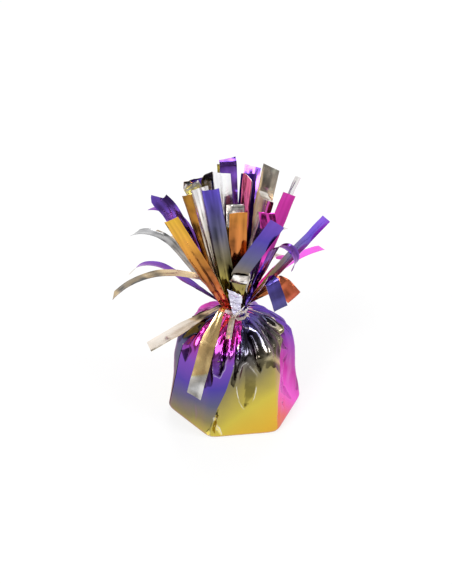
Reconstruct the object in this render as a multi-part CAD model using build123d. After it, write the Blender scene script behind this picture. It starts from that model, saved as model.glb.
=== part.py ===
from build123d import *
from math import cos, sin, radians
import os

# Driving dimensions, in millimetres

# Film: one metallised sheet, wrapped, gathered and cut into a fringe
FILM = 0.4
STRIP_LENGTH = 70.0
STRIP_WIDTH = 8.5
GATHER_LENGTH = 24.0
GATHER_WIDTH = 1.4
ROOT_STUB = 0.8
CREASE_RADIUS = 1.2
BEAD_RADIUS = 0.6
HINGE_GAP = 0.15

# Hexagonal cup, mouth down
CUP_MOUTH_RADIUS = 33.0
CUP_TOP_RADIUS = 27.5
CUP_HEIGHT = 41.0
CUP_WALL = 1.2
CUP_CORNER_RADIUS = 3.0
LIP_WIDTH = 0.9
LIP_HEIGHT = 1.6

# Closing card and cast filling
CARD_THICKNESS = 1.5
FIT_GAP = 0.2

# Wrap over the cup
WRAP_EASE = 0.8
BASE_ROUND = 0.5
SHOULDER_HEIGHT = 14.2
WAIST_RADIUS = 5.6
WAIST_HEIGHT = 2.6
COLLAR_RADIUS = 8.0
COLLAR_HEIGHT = 1.0
PLEAT_DEPTH = 1.3

# Tie round the neck
TIE_WALL = 0.6
TIE_GAP = 0.15
TIE_PLAY = 0.1
KNOT_RADIUS = 1.1
RIBBON_THICKNESS = 0.4
TAIL_WIDTH = 2.6
TAIL_LENGTH = 17.5
END_WIDTH = 6.5
END_CLEAR = 1.4
END_RISE = 14.0
END_BEND_RADIUS = 1.5

# Spacing of the rings of strip roots in the gathered neck
CORE_RING_RADIUS = 1.5
RING_PITCH = 1.8

# How far inside the wrap's edge the hanging strip turns down
HANG_SETBACK = 3.0

# Angles and counts
HEX_SIDES = 6
HEX_YAW = 8.0
PLEAT_POINTS = 36
KNOT_AZIMUTH = 282.0
TAIL_AZIMUTH = 262.0
TAIL_LEAN = 106.0
END_AZIMUTH = 274.0
END_RUN_LEAN = 62.0
END_RISE_LEAN = 8.0
OUTER_RING = 3
HANG_AZIMUTH = 251.0
HANG_FACING = 237.0
HANG_LEAN = 60.0
HANG_BEND = 78.0

# Shoulder of the wrap: share of its rise, share of its run in from the cup to
# the waist, share of the hexagon kept, share of the pleat depth
SHOULDER_SHARES = (
    (0.45, 0.21, 0.85, 0.75),
    (0.78, 0.48, 0.50, 1.00),
    (0.94, 0.79, 0.15, 0.80),
)
WAIST_PLEAT_SHARE = 0.25
COLLAR_PLEAT_SHARE = 0.35
HANG_RISE_SHARE = 0.08
HANG_BEND_SHARE = 0.06

# Derived sizes
cup_base = FILM
cup_top = cup_base + CUP_HEIGHT
wrap_base_radius = CUP_MOUTH_RADIUS + LIP_WIDTH + WRAP_EASE + FILM
wrap_edge_radius = CUP_TOP_RADIUS + WRAP_EASE + FILM
wrap_edge_height = cup_top + FIT_GAP + FILM
waist_base = wrap_edge_height + SHOULDER_HEIGHT
waist_top = waist_base + WAIST_HEIGHT
collar_top = waist_top + COLLAR_HEIGHT
hex_apothem_share = cos(radians(180 / HEX_SIDES))
outer_ring_radius = CORE_RING_RADIUS + RING_PITCH * OUTER_RING

# The hanging strip runs out over the shoulder until it can fall past the wrap's edge
hang_fall = HANG_LEAN + HANG_BEND
hang_bend_radius = STRIP_LENGTH * HANG_BEND_SHARE / radians(HANG_BEND)
hang_start = outer_ring_radius * cos(radians(HANG_AZIMUTH - HANG_FACING))
hang_start += STRIP_LENGTH * HANG_RISE_SHARE * sin(radians(HANG_LEAN))
hang_start += hang_bend_radius * (cos(radians(HANG_LEAN)) - cos(radians(hang_fall)))
hang_run_share = (wrap_edge_radius - HANG_SETBACK - hang_start) / sin(radians(hang_fall)) / STRIP_LENGTH

# Strips: name, ring, azimuth of the root, direction it leans in, lean from the
# upright, tilt within its own plane, then runs of (share of length, bend),
# some with a further tilt at their start.
# Hinged strips are creased at the root and swing there
HINGED_STRIP_SHARES = (
    ("left_arch_strip", 3, 200, 192, 29, 0, ((0.22, 0), (0.10, 45), (0.12, 0), (0.52, 62))),
    ("left_low_strip", 3, 217, 205, 75, 0, ((0.06, 34), (0.56, 0))),
    ("front_hanging_strip", 3, HANG_AZIMUTH, HANG_FACING, HANG_LEAN, 0, (
        (HANG_RISE_SHARE, 0), (HANG_BEND_SHARE, HANG_BEND), (hang_run_share, 0), (0.05, 14), (0.36, 0))),
    ("right_long_strip", 3, 14, 10, 42, 0, ((0.83, 0),)),
    ("right_bowed_strip", 3, 32, 28, 54, 0, ((0.20, 0), (0.50, 40))),
    ("right_folded_strip", 3, 334, 328, 33, 0, ((0.29, 0), (0.05, 126), (0.20, 0))),
    ("right_short_strip", 3, 354, 352, 48, 0, ((0.26, 0), (0.05, 92), (0.14, 0))),
    ("left_drooping_strip", 3, 181, 173, 57, 0, ((0.44, 0), (0.18, 46), (0.12, 50))),
)
FIXED_STRIP_SHARES = (
    ("front_right_strip", 3, 279, 276, 13, 2, ((0.34, 0), (0.50, 0, 27))),
    ("right_wide_strip", 2, 332, 300, 6, 20, ((0.90, 0),)),
    ("right_curled_strip", 3, 314, 330, 24, 0, ((0.56, 0), (0.30, 200))),
    ("left_upper_arch_strip", 3, 147, 149, 32, 0, ((0.55, 0), (0.34, 80))),
    ("left_middle_arch_strip", 3, 164, 162, 43, 0, ((0.50, 0), (0.34, 75))),
    ("front_inner_right_strip", 2, 304, 285, 4, 12, ((0.88, 0),)),
    ("front_centre_strip", 2, 276, 270, 4, 1, ((0.78, 0),)),
    ("front_tall_strip", 2, 247, 261, 12, -6, ((1.04, 0),)),
    ("front_inner_left_strip", 2, 225, 250, 4, -11, ((0.95, 0),)),
    ("front_left_tall_strip", 2, 204, 240, 6, -16, ((0.88, 0),)),
    ("front_left_strip", 3, 234, 256, 19, -21, ((0.90, 0),)),
    ("left_tall_strip", 2, 169, 172, 29, 0, ((0.75, 0), (0.15, 22))),
    ("left_back_tall_strip", 2, 146, 147, 18, 0, ((0.75, 0), (0.15, 26))),
    ("core_left_strip", 0, 150, 150, 5, 0, ((1.00, 0),)),
    ("core_front_strip", 0, 270, 270, 1, 0, ((0.95, 0),)),
    ("core_right_strip", 0, 30, 30, 5, 0, ((0.97, 0),)),
    ("inner_left_strip", 1, 150, 148, 10, 0, ((0.98, 0),)),
    ("inner_back_strip", 1, 109, 97, 16, 0, ((1.02, 0),)),
    ("inner_right_back_strip", 1, 62, 60, 9, 0, ((0.95, 0),)),
    ("inner_right_strip", 1, 22, 22, 16, 0, ((0.87, 0),)),
    ("right_upper_strip", 2, 26, 12, 25, 6, ((0.98, 0),)),
    ("right_back_strip", 2, 52, 54, 22, 0, ((0.97, 0),)),
    ("back_right_strip", 2, 77, 77, 32, 0, ((0.95, 0),)),
    ("back_middle_strip", 2, 100, 99, 22, 0, ((0.95, 0),)),
    ("back_left_strip", 2, 123, 123, 30, 0, ((0.95, 0),)),
    ("back_left_drooping_strip", 3, 131, 138, 58, 0, ((0.40, 0), (0.25, 40))),
    ("back_bowed_strip_1", 3, 50, 52, 46, 0, ((0.20, 0), (0.40, 110))),
    ("back_bowed_strip_2", 3, 66, 66, 60, 0, ((0.35, 0), (0.50, 60))),
    ("back_bowed_strip_3", 3, 82, 82, 42, 0, ((0.40, 0), (0.50, 45))),
    ("back_bowed_strip_4", 3, 98, 98, 62, 0, ((0.35, 0), (0.50, 60))),
    ("back_bowed_strip_5", 3, 114, 112, 41, 0, ((0.40, 0), (0.50, 50))),
)


# Hexagonal cup

def hexagon(height, radius, corner):
    """A level hexagon with rounded corners, sized across its corners."""
    outline = RegularPolygon(radius, HEX_SIDES, rotation=HEX_YAW)
    return Plane.XY.offset(height) * fillet(outline.vertices(), corner)


def hex_block(bottom, top, radius_bottom, radius_top, corner):
    """A tapered block between two rounded hexagons."""
    return loft([hexagon(bottom, radius_bottom, corner), hexagon(top, radius_top, corner)])


def taper_radius(height):
    """Outer radius of the cup across its corners at a height."""
    along_share = (height - cup_base) / CUP_HEIGHT
    return CUP_MOUTH_RADIUS + (CUP_TOP_RADIUS - CUP_MOUTH_RADIUS) * along_share


wall_run = CUP_WALL / hex_apothem_share
inner_corner = CUP_CORNER_RADIUS - CUP_WALL
crown_under = cup_top - CUP_WALL
cup_outside = hex_block(cup_base, cup_top, CUP_MOUTH_RADIUS, CUP_TOP_RADIUS, CUP_CORNER_RADIUS)
cup_hollow = hex_block(
    cup_base,
    crown_under,
    CUP_MOUTH_RADIUS - wall_run,
    taper_radius(crown_under) - wall_run,
    inner_corner,
)
lip = extrude(hexagon(cup_base, CUP_MOUTH_RADIUS + LIP_WIDTH, CUP_CORNER_RADIUS + LIP_WIDTH), LIP_HEIGHT)
cup_shell = cup_outside + lip - cup_hollow

# Card that closes the mouth, and the cast filling above it
card_top = cup_base + CARD_THICKNESS
fit_run = wall_run + FIT_GAP / hex_apothem_share
fit_corner = inner_corner - FIT_GAP
base_card = extrude(hexagon(cup_base, taper_radius(card_top) - fit_run, fit_corner), CARD_THICKNESS)
fill_top = crown_under - FIT_GAP
ballast_fill = hex_block(
    card_top,
    fill_top,
    taper_radius(card_top) - fit_run,
    taper_radius(fill_top) - fit_run,
    fit_corner,
)


# Wrap of film: flat under the cup, pleated over the shoulder, drawn in at the waist

def wrap_ring(height, radius, hex_share, pleat):
    """One level outline of the wrap, between a hexagon and a pleated round."""
    points = []
    side = 360 / HEX_SIDES
    step = 360 / PLEAT_POINTS
    for index in range(PLEAT_POINTS):
        angle = index * step
        flat_share = hex_apothem_share / cos(radians(angle % side - side / 2))
        reach = radius * (hex_share * flat_share + 1 - hex_share)
        reach += pleat if index % 2 == 0 else -pleat
        turn = radians(angle + HEX_YAW)
        points.append((reach * cos(turn), reach * sin(turn)))
    outline = make_face(Polyline(*points, close=True))
    return Plane.XY.offset(height) * outline


def shoulder_station(rise_share, run_share, hex_share, pleat_share):
    """Height, radius, hexagon share and pleat depth part way up the shoulder."""
    height = wrap_edge_height + SHOULDER_HEIGHT * rise_share
    radius = wrap_edge_radius + (WAIST_RADIUS - wrap_edge_radius) * run_share
    return height, radius, hex_share, PLEAT_DEPTH * pleat_share


foot_radius = wrap_base_radius - BASE_ROUND
shoulder = [shoulder_station(*row) for row in SHOULDER_SHARES]
wrap_body = [
    (0, foot_radius, 1, 0),
    (BASE_ROUND, wrap_base_radius, 1, 0),
    (wrap_edge_height, wrap_edge_radius, 1, 0),
]
waist_pleat = PLEAT_DEPTH * WAIST_PLEAT_SHARE
wrap_neck = [
    (waist_base, WAIST_RADIUS, 0, waist_pleat),
    (waist_top, WAIST_RADIUS, 0, waist_pleat),
    (collar_top, COLLAR_RADIUS, 0, PLEAT_DEPTH * COLLAR_PLEAT_SHARE),
]
wrap_outside = loft([wrap_ring(*row) for row in wrap_body + shoulder + wrap_neck], ruled=True)


def hollow_ring(height, radius, pleat):
    """One level hexagon of the space inside the wrap, clear of its pleats."""
    outline = RegularPolygon(radius - pleat - FILM, HEX_SIDES, rotation=HEX_YAW)
    return Plane.XY.offset(height) * outline


hollow_rows = [
    (FILM, foot_radius, 0),
    (FILM + BASE_ROUND, wrap_base_radius, 0),
    (wrap_edge_height - FILM, wrap_edge_radius, 0),
]
hollow_rows += [(height - FILM, radius, pleat) for height, radius, share, pleat in shoulder]
foil_wrap = wrap_outside - loft([hollow_ring(*row) for row in hollow_rows], ruled=True)


# Tie: a band in the waist, a knot on the front, a tail that hangs and an end that stands

def level(azimuth):
    """Level direction at an azimuth."""
    return Vector(cos(radians(azimuth)), sin(radians(azimuth)), 0)


def across(azimuth):
    """Level direction square to an azimuth."""
    return Vector(-sin(radians(azimuth)), cos(radians(azimuth)), 0)


UP = Vector(0, 0, 1)
band_inner = WAIST_RADIUS + waist_pleat + TIE_GAP
band_outer = band_inner + TIE_WALL
band_height = WAIST_HEIGHT - 2 * TIE_PLAY
band_base = Plane.XY.offset(waist_base + TIE_PLAY)
band = extrude(band_base * (Circle(band_outer) - Circle(band_inner)), band_height)
tie_middle = (waist_base + waist_top) / 2
knot_place = level(KNOT_AZIMUTH) * (band_outer + KNOT_RADIUS / 2) + UP * tie_middle
knot = Pos(knot_place) * Sphere(KNOT_RADIUS)


def band_point(azimuth):
    """Point in the middle of the band's wall."""
    return level(azimuth) * (band_outer - TIE_WALL / 2) + UP * tie_middle


def lean_towards(azimuth, degrees):
    """Direction that leans from the upright towards an azimuth."""
    return level(azimuth) * sin(radians(degrees)) + UP * cos(radians(degrees))


def ribbon(path, azimuth, width):
    """A flat ribbon along a path that starts square to an azimuth."""
    start = Plane(origin=path @ 0, x_dir=across(azimuth), z_dir=path % 0)
    return sweep(start * Rectangle(width, RIBBON_THICKNESS), path=path)


tail_root = band_point(TAIL_AZIMUTH)
tail_path = Line(tail_root, tail_root + lean_towards(TAIL_AZIMUTH, TAIL_LEAN) * TAIL_LENGTH)
collar_reach = COLLAR_RADIUS + PLEAT_DEPTH * COLLAR_PLEAT_SHARE
end_run = (collar_reach + END_CLEAR - band_outer + TIE_WALL / 2) / sin(radians(END_RUN_LEAN))
end_root = band_point(END_AZIMUTH)
end_turn = end_root + lean_towards(END_AZIMUTH, END_RUN_LEAN) * end_run
end_top = end_turn + lean_towards(END_AZIMUTH, END_RISE_LEAN) * END_RISE
end_path = FilletPolyline(end_root, end_turn, end_top, radius=END_BEND_RADIUS)
tail = ribbon(tail_path, TAIL_AZIMUTH, TAIL_WIDTH)
standing_end = ribbon(end_path, END_AZIMUTH, END_WIDTH)
neck_tie = band + knot + tail + standing_end


# Strips of the fringe

def ring_radius(ring):
    """Radius of a ring of strip roots in the neck."""
    return CORE_RING_RADIUS + RING_PITCH * ring


class Strip:
    """A strip of film built run by run from its gathered root."""

    def __init__(self, ring, azimuth, leaning):
        self.place = level(azimuth) * ring_radius(ring) + UP * collar_top
        self.along = UP
        self.face = level(leaning)
        self.wide = across(leaning)
        self.width = GATHER_WIDTH
        self.gathered = GATHER_LENGTH
        self.solid = None

    def add(self, piece):
        """Join one more piece."""
        self.solid = piece if self.solid is None else self.solid + piece

    def flat(self, outline):
        """Add a flat piece drawn as (across, along) points in the strip's plane."""
        plane = Plane(origin=self.place, x_dir=self.wide, z_dir=self.face)
        self.add(extrude(plane * make_face(Polyline(*outline, close=True)), FILM / 2, both=True))

    def stub(self, length):
        """Add an upright stub of the gathered width."""
        half = self.width / 2
        self.flat(((-half, 0), (half, 0), (half, length), (-half, length)))
        self.place += self.along * length

    def bead(self):
        """Add the round crease that a hinged strip swings on."""
        self.place += UP * (BEAD_RADIUS + HINGE_GAP)
        start = self.place - self.wide * (self.width / 2)
        end = Plane(origin=start, x_dir=self.face, z_dir=self.wide)
        self.add(extrude(end * Circle(BEAD_RADIUS), self.width))

    def turn(self, degrees):
        """Turn the strip's heading about its width."""
        heading = self.along * cos(radians(degrees)) + self.face * sin(radians(degrees))
        self.face = self.face * cos(radians(degrees)) - self.along * sin(radians(degrees))
        self.along = heading

    def tilt(self, degrees):
        """Turn the heading within the strip's own plane."""
        heading = self.along * cos(radians(degrees)) + self.wide * sin(radians(degrees))
        self.wide = self.wide * cos(radians(degrees)) - self.along * sin(radians(degrees))
        self.along = heading

    def straight(self, length, tilted):
        """Add a straight run, widening until the gathers have opened out."""
        grown = min(length, self.gathered)
        wider = self.width + (STRIP_WIDTH - GATHER_WIDTH) * grown / GATHER_LENGTH
        foot = self.width / 2
        half = wider / 2
        left = (-foot * cos(radians(tilted)), -foot * sin(radians(tilted)))
        right = (foot * cos(radians(tilted)), foot * sin(radians(tilted)))
        corners = [(half, length), (-half, length)]
        if 0 < grown < length:
            corners = [(half, grown), *corners, (-half, grown)]
        self.flat([left, right, *corners])
        self.place += self.along * length
        self.width = wider
        self.gathered -= grown

    def bend(self, radius, degrees):
        """Add a bend of steady radius and width."""
        side = 1 if degrees > 0 else -1
        section = Plane(origin=self.place, x_dir=self.wide, z_dir=self.along) * Rectangle(self.width, FILM)
        centre = self.place + self.face * (radius * side)
        self.add(revolve(section, Axis(centre, self.wide * side), abs(degrees)))
        self.turn(degrees)
        self.place = centre + self.face * (-radius * side)


def make_strip(row, hinged):
    """One strip from its row, with the point and direction of its root crease."""
    name, ring, azimuth, leaning, lean, tilted, runs = row
    strip = Strip(ring, azimuth, leaning)
    if hinged:
        strip.bead()
        crease = (strip.place, strip.wide)
        strip.turn(lean)
    else:
        strip.stub(ROOT_STUB)
        crease = None
        strip.bend(CREASE_RADIUS, lean)
    skew = tilted
    for share, degrees, *turned in runs:
        length = STRIP_LENGTH * share
        skew += sum(turned)
        strip.tilt(skew)
        if degrees == 0:
            strip.straight(length, skew)
        else:
            strip.bend(length / radians(abs(degrees)), degrees)
        skew = 0
    return strip.solid, crease


# Pieces
os.makedirs("parts", exist_ok=True)
pieces = {
    "cup_shell": cup_shell,
    "ballast_fill": ballast_fill,
    "base_card": base_card,
    "foil_wrap": foil_wrap,
    "neck_tie": neck_tie,
}
for row in HINGED_STRIP_SHARES:
    pieces[row[0]], crease = make_strip(row, True)
    spot, line = crease
    print("crease", row[0], *(f"{value:.4f}" for value in (*spot, *line)))
for row in FIXED_STRIP_SHARES:
    pieces[row[0]], crease = make_strip(row, False)
for name, shape in pieces.items():
    export_step(shape, f"parts/{name}.step")
print(len(pieces), "pieces, collar top", collar_top)
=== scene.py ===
from functools import partial
from math import cos, pi, radians, sin
import bpy
import numpy as np
from bpy.props import FloatProperty, FloatVectorProperty, IntProperty, PointerProperty
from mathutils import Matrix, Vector, noise


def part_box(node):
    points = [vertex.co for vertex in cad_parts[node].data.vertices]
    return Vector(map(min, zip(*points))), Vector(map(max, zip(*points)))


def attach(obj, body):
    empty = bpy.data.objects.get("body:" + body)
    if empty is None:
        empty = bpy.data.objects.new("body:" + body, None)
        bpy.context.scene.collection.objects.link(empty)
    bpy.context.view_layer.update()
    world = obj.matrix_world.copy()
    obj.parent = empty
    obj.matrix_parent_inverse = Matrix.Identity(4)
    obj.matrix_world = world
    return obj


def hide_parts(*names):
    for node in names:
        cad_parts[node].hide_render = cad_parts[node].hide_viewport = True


bl_info = {
    "name": "Foil Balloon Weight",
    "version": (1, 0, 0),
    "blender": (4, 5, 0),
    "location": "View3D > Sidebar > Balloon Weight",
    "description": "Dresses a balloon weight in wrapped, tied and fringed metallised film",
    "category": "Object",
}

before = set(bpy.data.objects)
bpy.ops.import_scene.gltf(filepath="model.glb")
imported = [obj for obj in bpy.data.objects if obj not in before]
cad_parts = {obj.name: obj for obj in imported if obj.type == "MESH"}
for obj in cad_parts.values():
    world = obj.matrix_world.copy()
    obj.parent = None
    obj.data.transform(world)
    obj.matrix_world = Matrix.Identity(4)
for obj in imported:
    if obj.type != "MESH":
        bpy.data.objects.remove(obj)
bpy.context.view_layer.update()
MM = 0.001
UP = Vector((0, 0, 1))
WRAP_TOP = Vector(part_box("foil_wrap")[1]).z
STRIP_TREE = "Film strip along a route"

# Hexagon of the wrap: azimuth of its first corner, number, spacing and sharpness of its corners
CORNER_YAW = 8.0
CORNERS = 6
SIDE = 360 / CORNERS
CORNER_SHARPNESS = 26

# Columns of the sheet over a panel and back under its lap, taper of the lap's free edge, the
# layer underneath and the wider gap on the shoulder as shares of the lap's gap
PANEL_COLUMNS = 62
RETURN_COLUMNS = 8
EDGE_TAPER = 0.3
RETURN_SHARE = 0.2
SHOULDER_GAP = 3

# Angle over which an edge shows as a crease, on the wrap and on a strip
WRAP_CREASE = radians(60)
STRIP_CREASE = radians(38)

# In mm: heights of the base's edge, of the neck's foot and of the base above the floor, space
# left outside the cup, radius left inside the neck, and length of a degree along the film
BASE_EDGE = 1.0
NECK_FOOT = 56.2
BASE_LIFT = 0.13
CUP_CLEARANCE = 0.35
NECK_CORE = 5.2
DEGREE_MM = 0.5

# Relief of the wrap: shares of a valley's rise where it is widest and deepest, share of its depth
# left at the neck, scales of the waves and the crumple for each mm, frills round the collar
VALLEY_WIDEST = 0.62
VALLEY_DEEPEST = 0.7
VALLEY_LEFT = 0.2
LONG_WAVE = 0.075
SHORT_WAVE = 0.2
CRUMPLE_SCALE = 0.16
FRILLS = 17

# Facets in the film and their painted shade: value of fold_at on their edge, which is also the mm kept on
# each side of it, wander of the edge in mm, strength of the painted shade of the facets at the back, loss of
# brightness for painted shade and gain for painted highlights, least gain, brightest colour, colour of a
# fold's painted highlight line
FOLD_EDGE = 3.0
EDGE_WANDER = 1.1
BACK_PAINTED_SHADE = 0.6
PAINTED_SHADE_LOSS = 0.93
PAINTED_HIGHLIGHT_GAIN = 1.2
LEAST_GAIN = 0.04
BRIGHTEST = (0.97, 0.97, 0.97)
PAINTED_FOLD_HIGHLIGHT = (0.95, 0.93, 0.92)

# Tint of the printed film at grazing angles
EDGE_TINT = (0.95, 0.66, 0.95)

# Roots of the strips: first ring and step of the rings in mm, then lengths of the steps of a
# run, of the start and rise of a hinged root, of the rise and bend of a fixed one, of a folded tip
FIRST_RING = 1.5
RING_STEP = 1.8
RUN_STEP = 1.2 * MM
HINGE_START = 0.4 * MM
HINGE_RISE = 0.35 * MM
ROOT_RISE = 0.8 * MM
LEAN_RADIUS = 1.2 * MM
TIP_FOLD_LENGTH = 1.6 * MM

# Cells across and along a strip, a fold and a ribbon, height of their waves, step of the seeds
STRIP_CELLS = (10, 84)
FOLD_CELLS = (10, 24)
RIBBON_CELLS = (8, 90)
STRIP_WAVE = 0.9 * MM
RIBBON_WAVE = 0.5 * MM
SEED_STEP = 3.7

# Tie: height of its middle in mm, thickness of its film
TIE_HEIGHT = 57.5
RIBBON_THICKNESS = 0.1 * MM

# Camera fitted to the photograph: distance, focal length, middle of the picture and middle of
# the base in pixels
CAMERA_DISTANCE = 700 * MM
FOCAL_PIXELS = 1341
PICTURE_MIDDLE = (226, 292)
BASE_PIXEL = (234.5, 402)

# Glow of the floor, light of the world on dull surfaces, cards of the dark canopy
FLOOR_GLOW = 0.72
SOFT_LIGHT = 0.55
CANOPY_RADIUS = 1.5
CARD_DARK = (0.042, 0.040, 0.040)
CARD_PALE = (0.50, 0.46, 0.40)

# Strip routes, as the solids have them: ring of the root, azimuth of the root,
# direction of leaning, lean, tilt, runs of (share of length, bend, tilt at the start)
HINGED_ROUTES = {
    "left_arch": (3, 200, 192, 29, 0, ((0.22, 0), (0.10, 45), (0.12, 0), (0.52, 62))),
    "left_low": (3, 217, 205, 75, 0, ((0.06, 34), (0.56, 0))),
    "front_hanging": (3, 251, 237, 60, 0, ((0.08, 0), (0.06, 78), (0.2203, 0), (0.05, 14), (0.36, 0))),
    "right_long": (3, 14, 10, 42, 0, ((0.83, 0),)),
    "right_bowed": (3, 32, 28, 54, 0, ((0.20, 0), (0.50, 40))),
    "right_folded": (3, 334, 328, 33, 0, ((0.29, 0), (0.05, 126), (0.20, 0))),
    "right_short": (3, 354, 352, 48, 0, ((0.26, 0), (0.05, 92), (0.14, 0))),
    "left_drooping": (3, 181, 173, 57, 0, ((0.44, 0), (0.18, 46), (0.12, 50))),
}
FIXED_ROUTES = {
    "front_right": (3, 279, 276, 13, 2, ((0.34, 0), (0.50, 0, 27))),
    "right_wide": (2, 332, 300, 6, 20, ((0.90, 0),)),
    "right_curled": (3, 314, 330, 24, 0, ((0.56, 0), (0.30, 200))),
    "left_upper_arch": (3, 147, 149, 32, 0, ((0.55, 0), (0.34, 80))),
    "left_middle_arch": (3, 164, 162, 43, 0, ((0.50, 0), (0.34, 75))),
    "front_inner_right": (2, 304, 285, 4, 12, ((0.88, 0),)),
    "front_centre": (2, 276, 270, 4, 1, ((0.78, 0),)),
    "front_tall": (2, 247, 261, 12, -6, ((1.04, 0),)),
    "front_inner_left": (2, 225, 250, 4, -11, ((0.95, 0),)),
    "front_left_tall": (2, 204, 240, 6, -16, ((0.88, 0),)),
    "front_left": (3, 234, 256, 19, -21, ((0.90, 0),)),
    "left_tall": (2, 169, 172, 29, 0, ((0.75, 0), (0.15, 22))),
    "left_back_tall": (2, 146, 147, 18, 0, ((0.75, 0), (0.15, 26))),
    "core_left": (0, 150, 150, 5, 0, ((1.00, 0),)),
    "core_front": (0, 270, 270, 1, 0, ((0.95, 0),)),
    "core_right": (0, 30, 30, 5, 0, ((0.97, 0),)),
    "inner_left": (1, 150, 148, 10, 0, ((0.98, 0),)),
    "inner_back": (1, 109, 97, 16, 0, ((1.02, 0),)),
    "inner_right_back": (1, 62, 60, 9, 0, ((0.95, 0),)),
    "inner_right": (1, 22, 22, 16, 0, ((0.87, 0),)),
    "right_upper": (2, 26, 12, 25, 6, ((0.98, 0),)),
    "right_back": (2, 52, 54, 22, 0, ((0.97, 0),)),
    "back_right": (2, 77, 77, 32, 0, ((0.95, 0),)),
    "back_middle": (2, 100, 99, 22, 0, ((0.95, 0),)),
    "back_left": (2, 123, 123, 30, 0, ((0.95, 0),)),
    "back_left_drooping": (3, 131, 138, 58, 0, ((0.40, 0), (0.25, 40))),
    "back_bowed_1": (3, 50, 52, 46, 0, ((0.20, 0), (0.40, 110))),
    "back_bowed_2": (3, 66, 66, 60, 0, ((0.35, 0), (0.50, 60))),
    "back_bowed_3": (3, 82, 82, 42, 0, ((0.40, 0), (0.50, 45))),
    "back_bowed_4": (3, 98, 98, 62, 0, ((0.35, 0), (0.50, 60))),
    "back_bowed_5": (3, 114, 112, 41, 0, ((0.40, 0), (0.50, 50))),
}

# How each strip shows: which way its printed side faces (1 outwards, -1 inwards, 0 both ways),
# place in the print at root and tip, silver tone at root and tip, roll at the tip, cut of the tip
STRIP_LOOKS = {
    "left_arch": (1, 0.60, 0.50, 0.80, 0.85, -10, 0.01),
    "left_low": (1, 0.90, 0.80, 0.65, 0.35, 0, 0.013),
    "front_hanging": (1, 0.80, 0.70, 1.00, 0.35, 0, 0.013),
    "right_long": (-1, 0.84, 0.48, 0.30, 0.30, -6, -0.013),
    "right_bowed": (-1, 0.16, 0.20, 0.20, 0.10, 12, 0.015),
    "right_folded": (-1, 0.50, 0.60, 0.20, 0.20, -20, 0.007),
    "right_short": (-1, 0.98, 1.06, 0.20, 0.20, -55, 0.01),
    "left_drooping": (-1, 0.52, 0.46, 0.30, 0.30, -12, 0.015),
    "front_right": (1, 0.84, 0.47, 0.30, 0.30, 0, -0.013),
    "right_wide": (1, 0.31, 0.26, 0.30, 0.30, 0, -0.013),
    "right_curled": (0, 0.54, 0.44, 0.20, 0.20, 10, 0.007),
    "left_upper_arch": (-1, 0.48, 0.43, 0.20, 0.20, -8, 0.013),
    "left_middle_arch": (1, 0.60, 0.66, 0.25, 0.10, -6, 0.013),
    "front_inner_right": (-1, 0.30, 0.25, 0.35, 0.20, 0, -0.01),
    "front_centre": (1, 1.03, 0.97, 0.30, 0.30, 0, 0.007),
    "front_tall": (1, 0.84, 0.53, 0.30, 0.30, 0, 0.007),
    "front_inner_left": (-1, 0.66, 0.76, 0.45, 0.15, -14, 0.01),
    "front_left_tall": (1, 1.00, 0.93, 0.30, 0.30, 0, 0.007),
    "front_left": (1, 1.07, 0.87, 0.30, 0.30, 0, 0.015),
    "left_tall": (-1, 0.32, 0.50, 0.30, 0.30, 68, 0.013),
    "left_back_tall": (1, 0.98, 0.98, 0.45, 0.05, 48, 0.013),
    "core_left": (1, 0.50, 0.55, 0.20, 0.05, 50, 0.013),
    "core_front": (1, 0.78, 0.84, 0.30, 0.10, 0, 0.007),
    "core_right": (-1, 0.12, 0.10, 0.30, 0.30, 0, 0.01),
    "inner_left": (1, 0.66, 0.70, 0.30, 0.20, 50, 0.013),
    "inner_back": (-1, 0.42, 0.47, 0.20, 0.20, 0, -0.015),
    "inner_right_back": (-1, 0.40, 0.47, 0.60, 0.55, 0, -0.013),
    "inner_right": (-1, 0.24, 0.28, 0.30, 0.30, 8, -0.013),
    "right_upper": (1, 0.10, 0.16, 0.15, 0.10, 6, -0.013),
    "right_back": (1, 0.04, 0.09, 0.30, 0.35, -30, 0.013),
    "back_right": (-1, 0.38, 0.45, 0.30, 0.30, 0, 0.01),
    "back_middle": (-1, 0.86, 0.78, 0.30, 0.30, 0, 0.01),
    "back_left": (-1, 0.46, 0.54, 0.30, 0.30, 0, -0.013),
    "back_left_drooping": (1, 0.88, 0.97, 0.60, 0.70, -10, 0.013),
    "back_bowed_1": (1, 0.10, 0.22, 0.40, 0.60, 6, 0.013),
    "back_bowed_2": (1, 0.52, 0.38, 0.60, 0.40, -6, 0.01),
    "back_bowed_3": (1, 0.70, 0.84, 0.30, 0.50, 4, 0.013),
    "back_bowed_4": (1, 0.90, 1.06, 0.50, 0.70, 0, 0.013),
    "back_bowed_5": (1, 0.20, 0.36, 0.40, 0.30, -4, 0.01),
}

# Strips whose root differs from the rest: width in mm, crush in mm, depth in mm of the creases
# that run along the strip
ROOT_LOOKS = {
    "front_hanging": (1.2, 0.2, 0.1),
    "left_low": (2.6, 0.4, 0.2),
    "left_arch": (2.2, 0.4, 0.2),
    "front_left": (4.4, 2.4, 1.0),
    "front_left_tall": (4.0, 1.6, 1.8),
    "front_inner_left": (4.0, 1.6, 2.2),
    "front_right": (3.2, 0.6, 0.3),
    "right_curled": (5.6, 3.2, 0.8),
    "front_tall": (4.4, 1.8, 2.2),
    "front_centre": (4.0, 1.6, 0.6),
    "front_inner_right": (4.2, 1.6, 1.2),
    "right_wide": (4.4, 1.6, 0.9),
    "left_tall": (3.4, 1.6, 1.2),
    "inner_left": (3.4, 1.2, 1.0),
    "core_left": (3.4, 1.2, 1.4),
}

# Strips that roll over early or late: shares of the length where the roll starts and ends
ROLL_SHARES = {"right_short": (0, 0.3), "left_tall": (0.35, 0.85)}

# Strips folded over themselves at a bend: share of the length at the fold, length and
# lift of the fold in mm, its turn in degrees
FOLDED_BENDS = {"front_right": (0.39, 6.5, 1.1, 20)}

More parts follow.
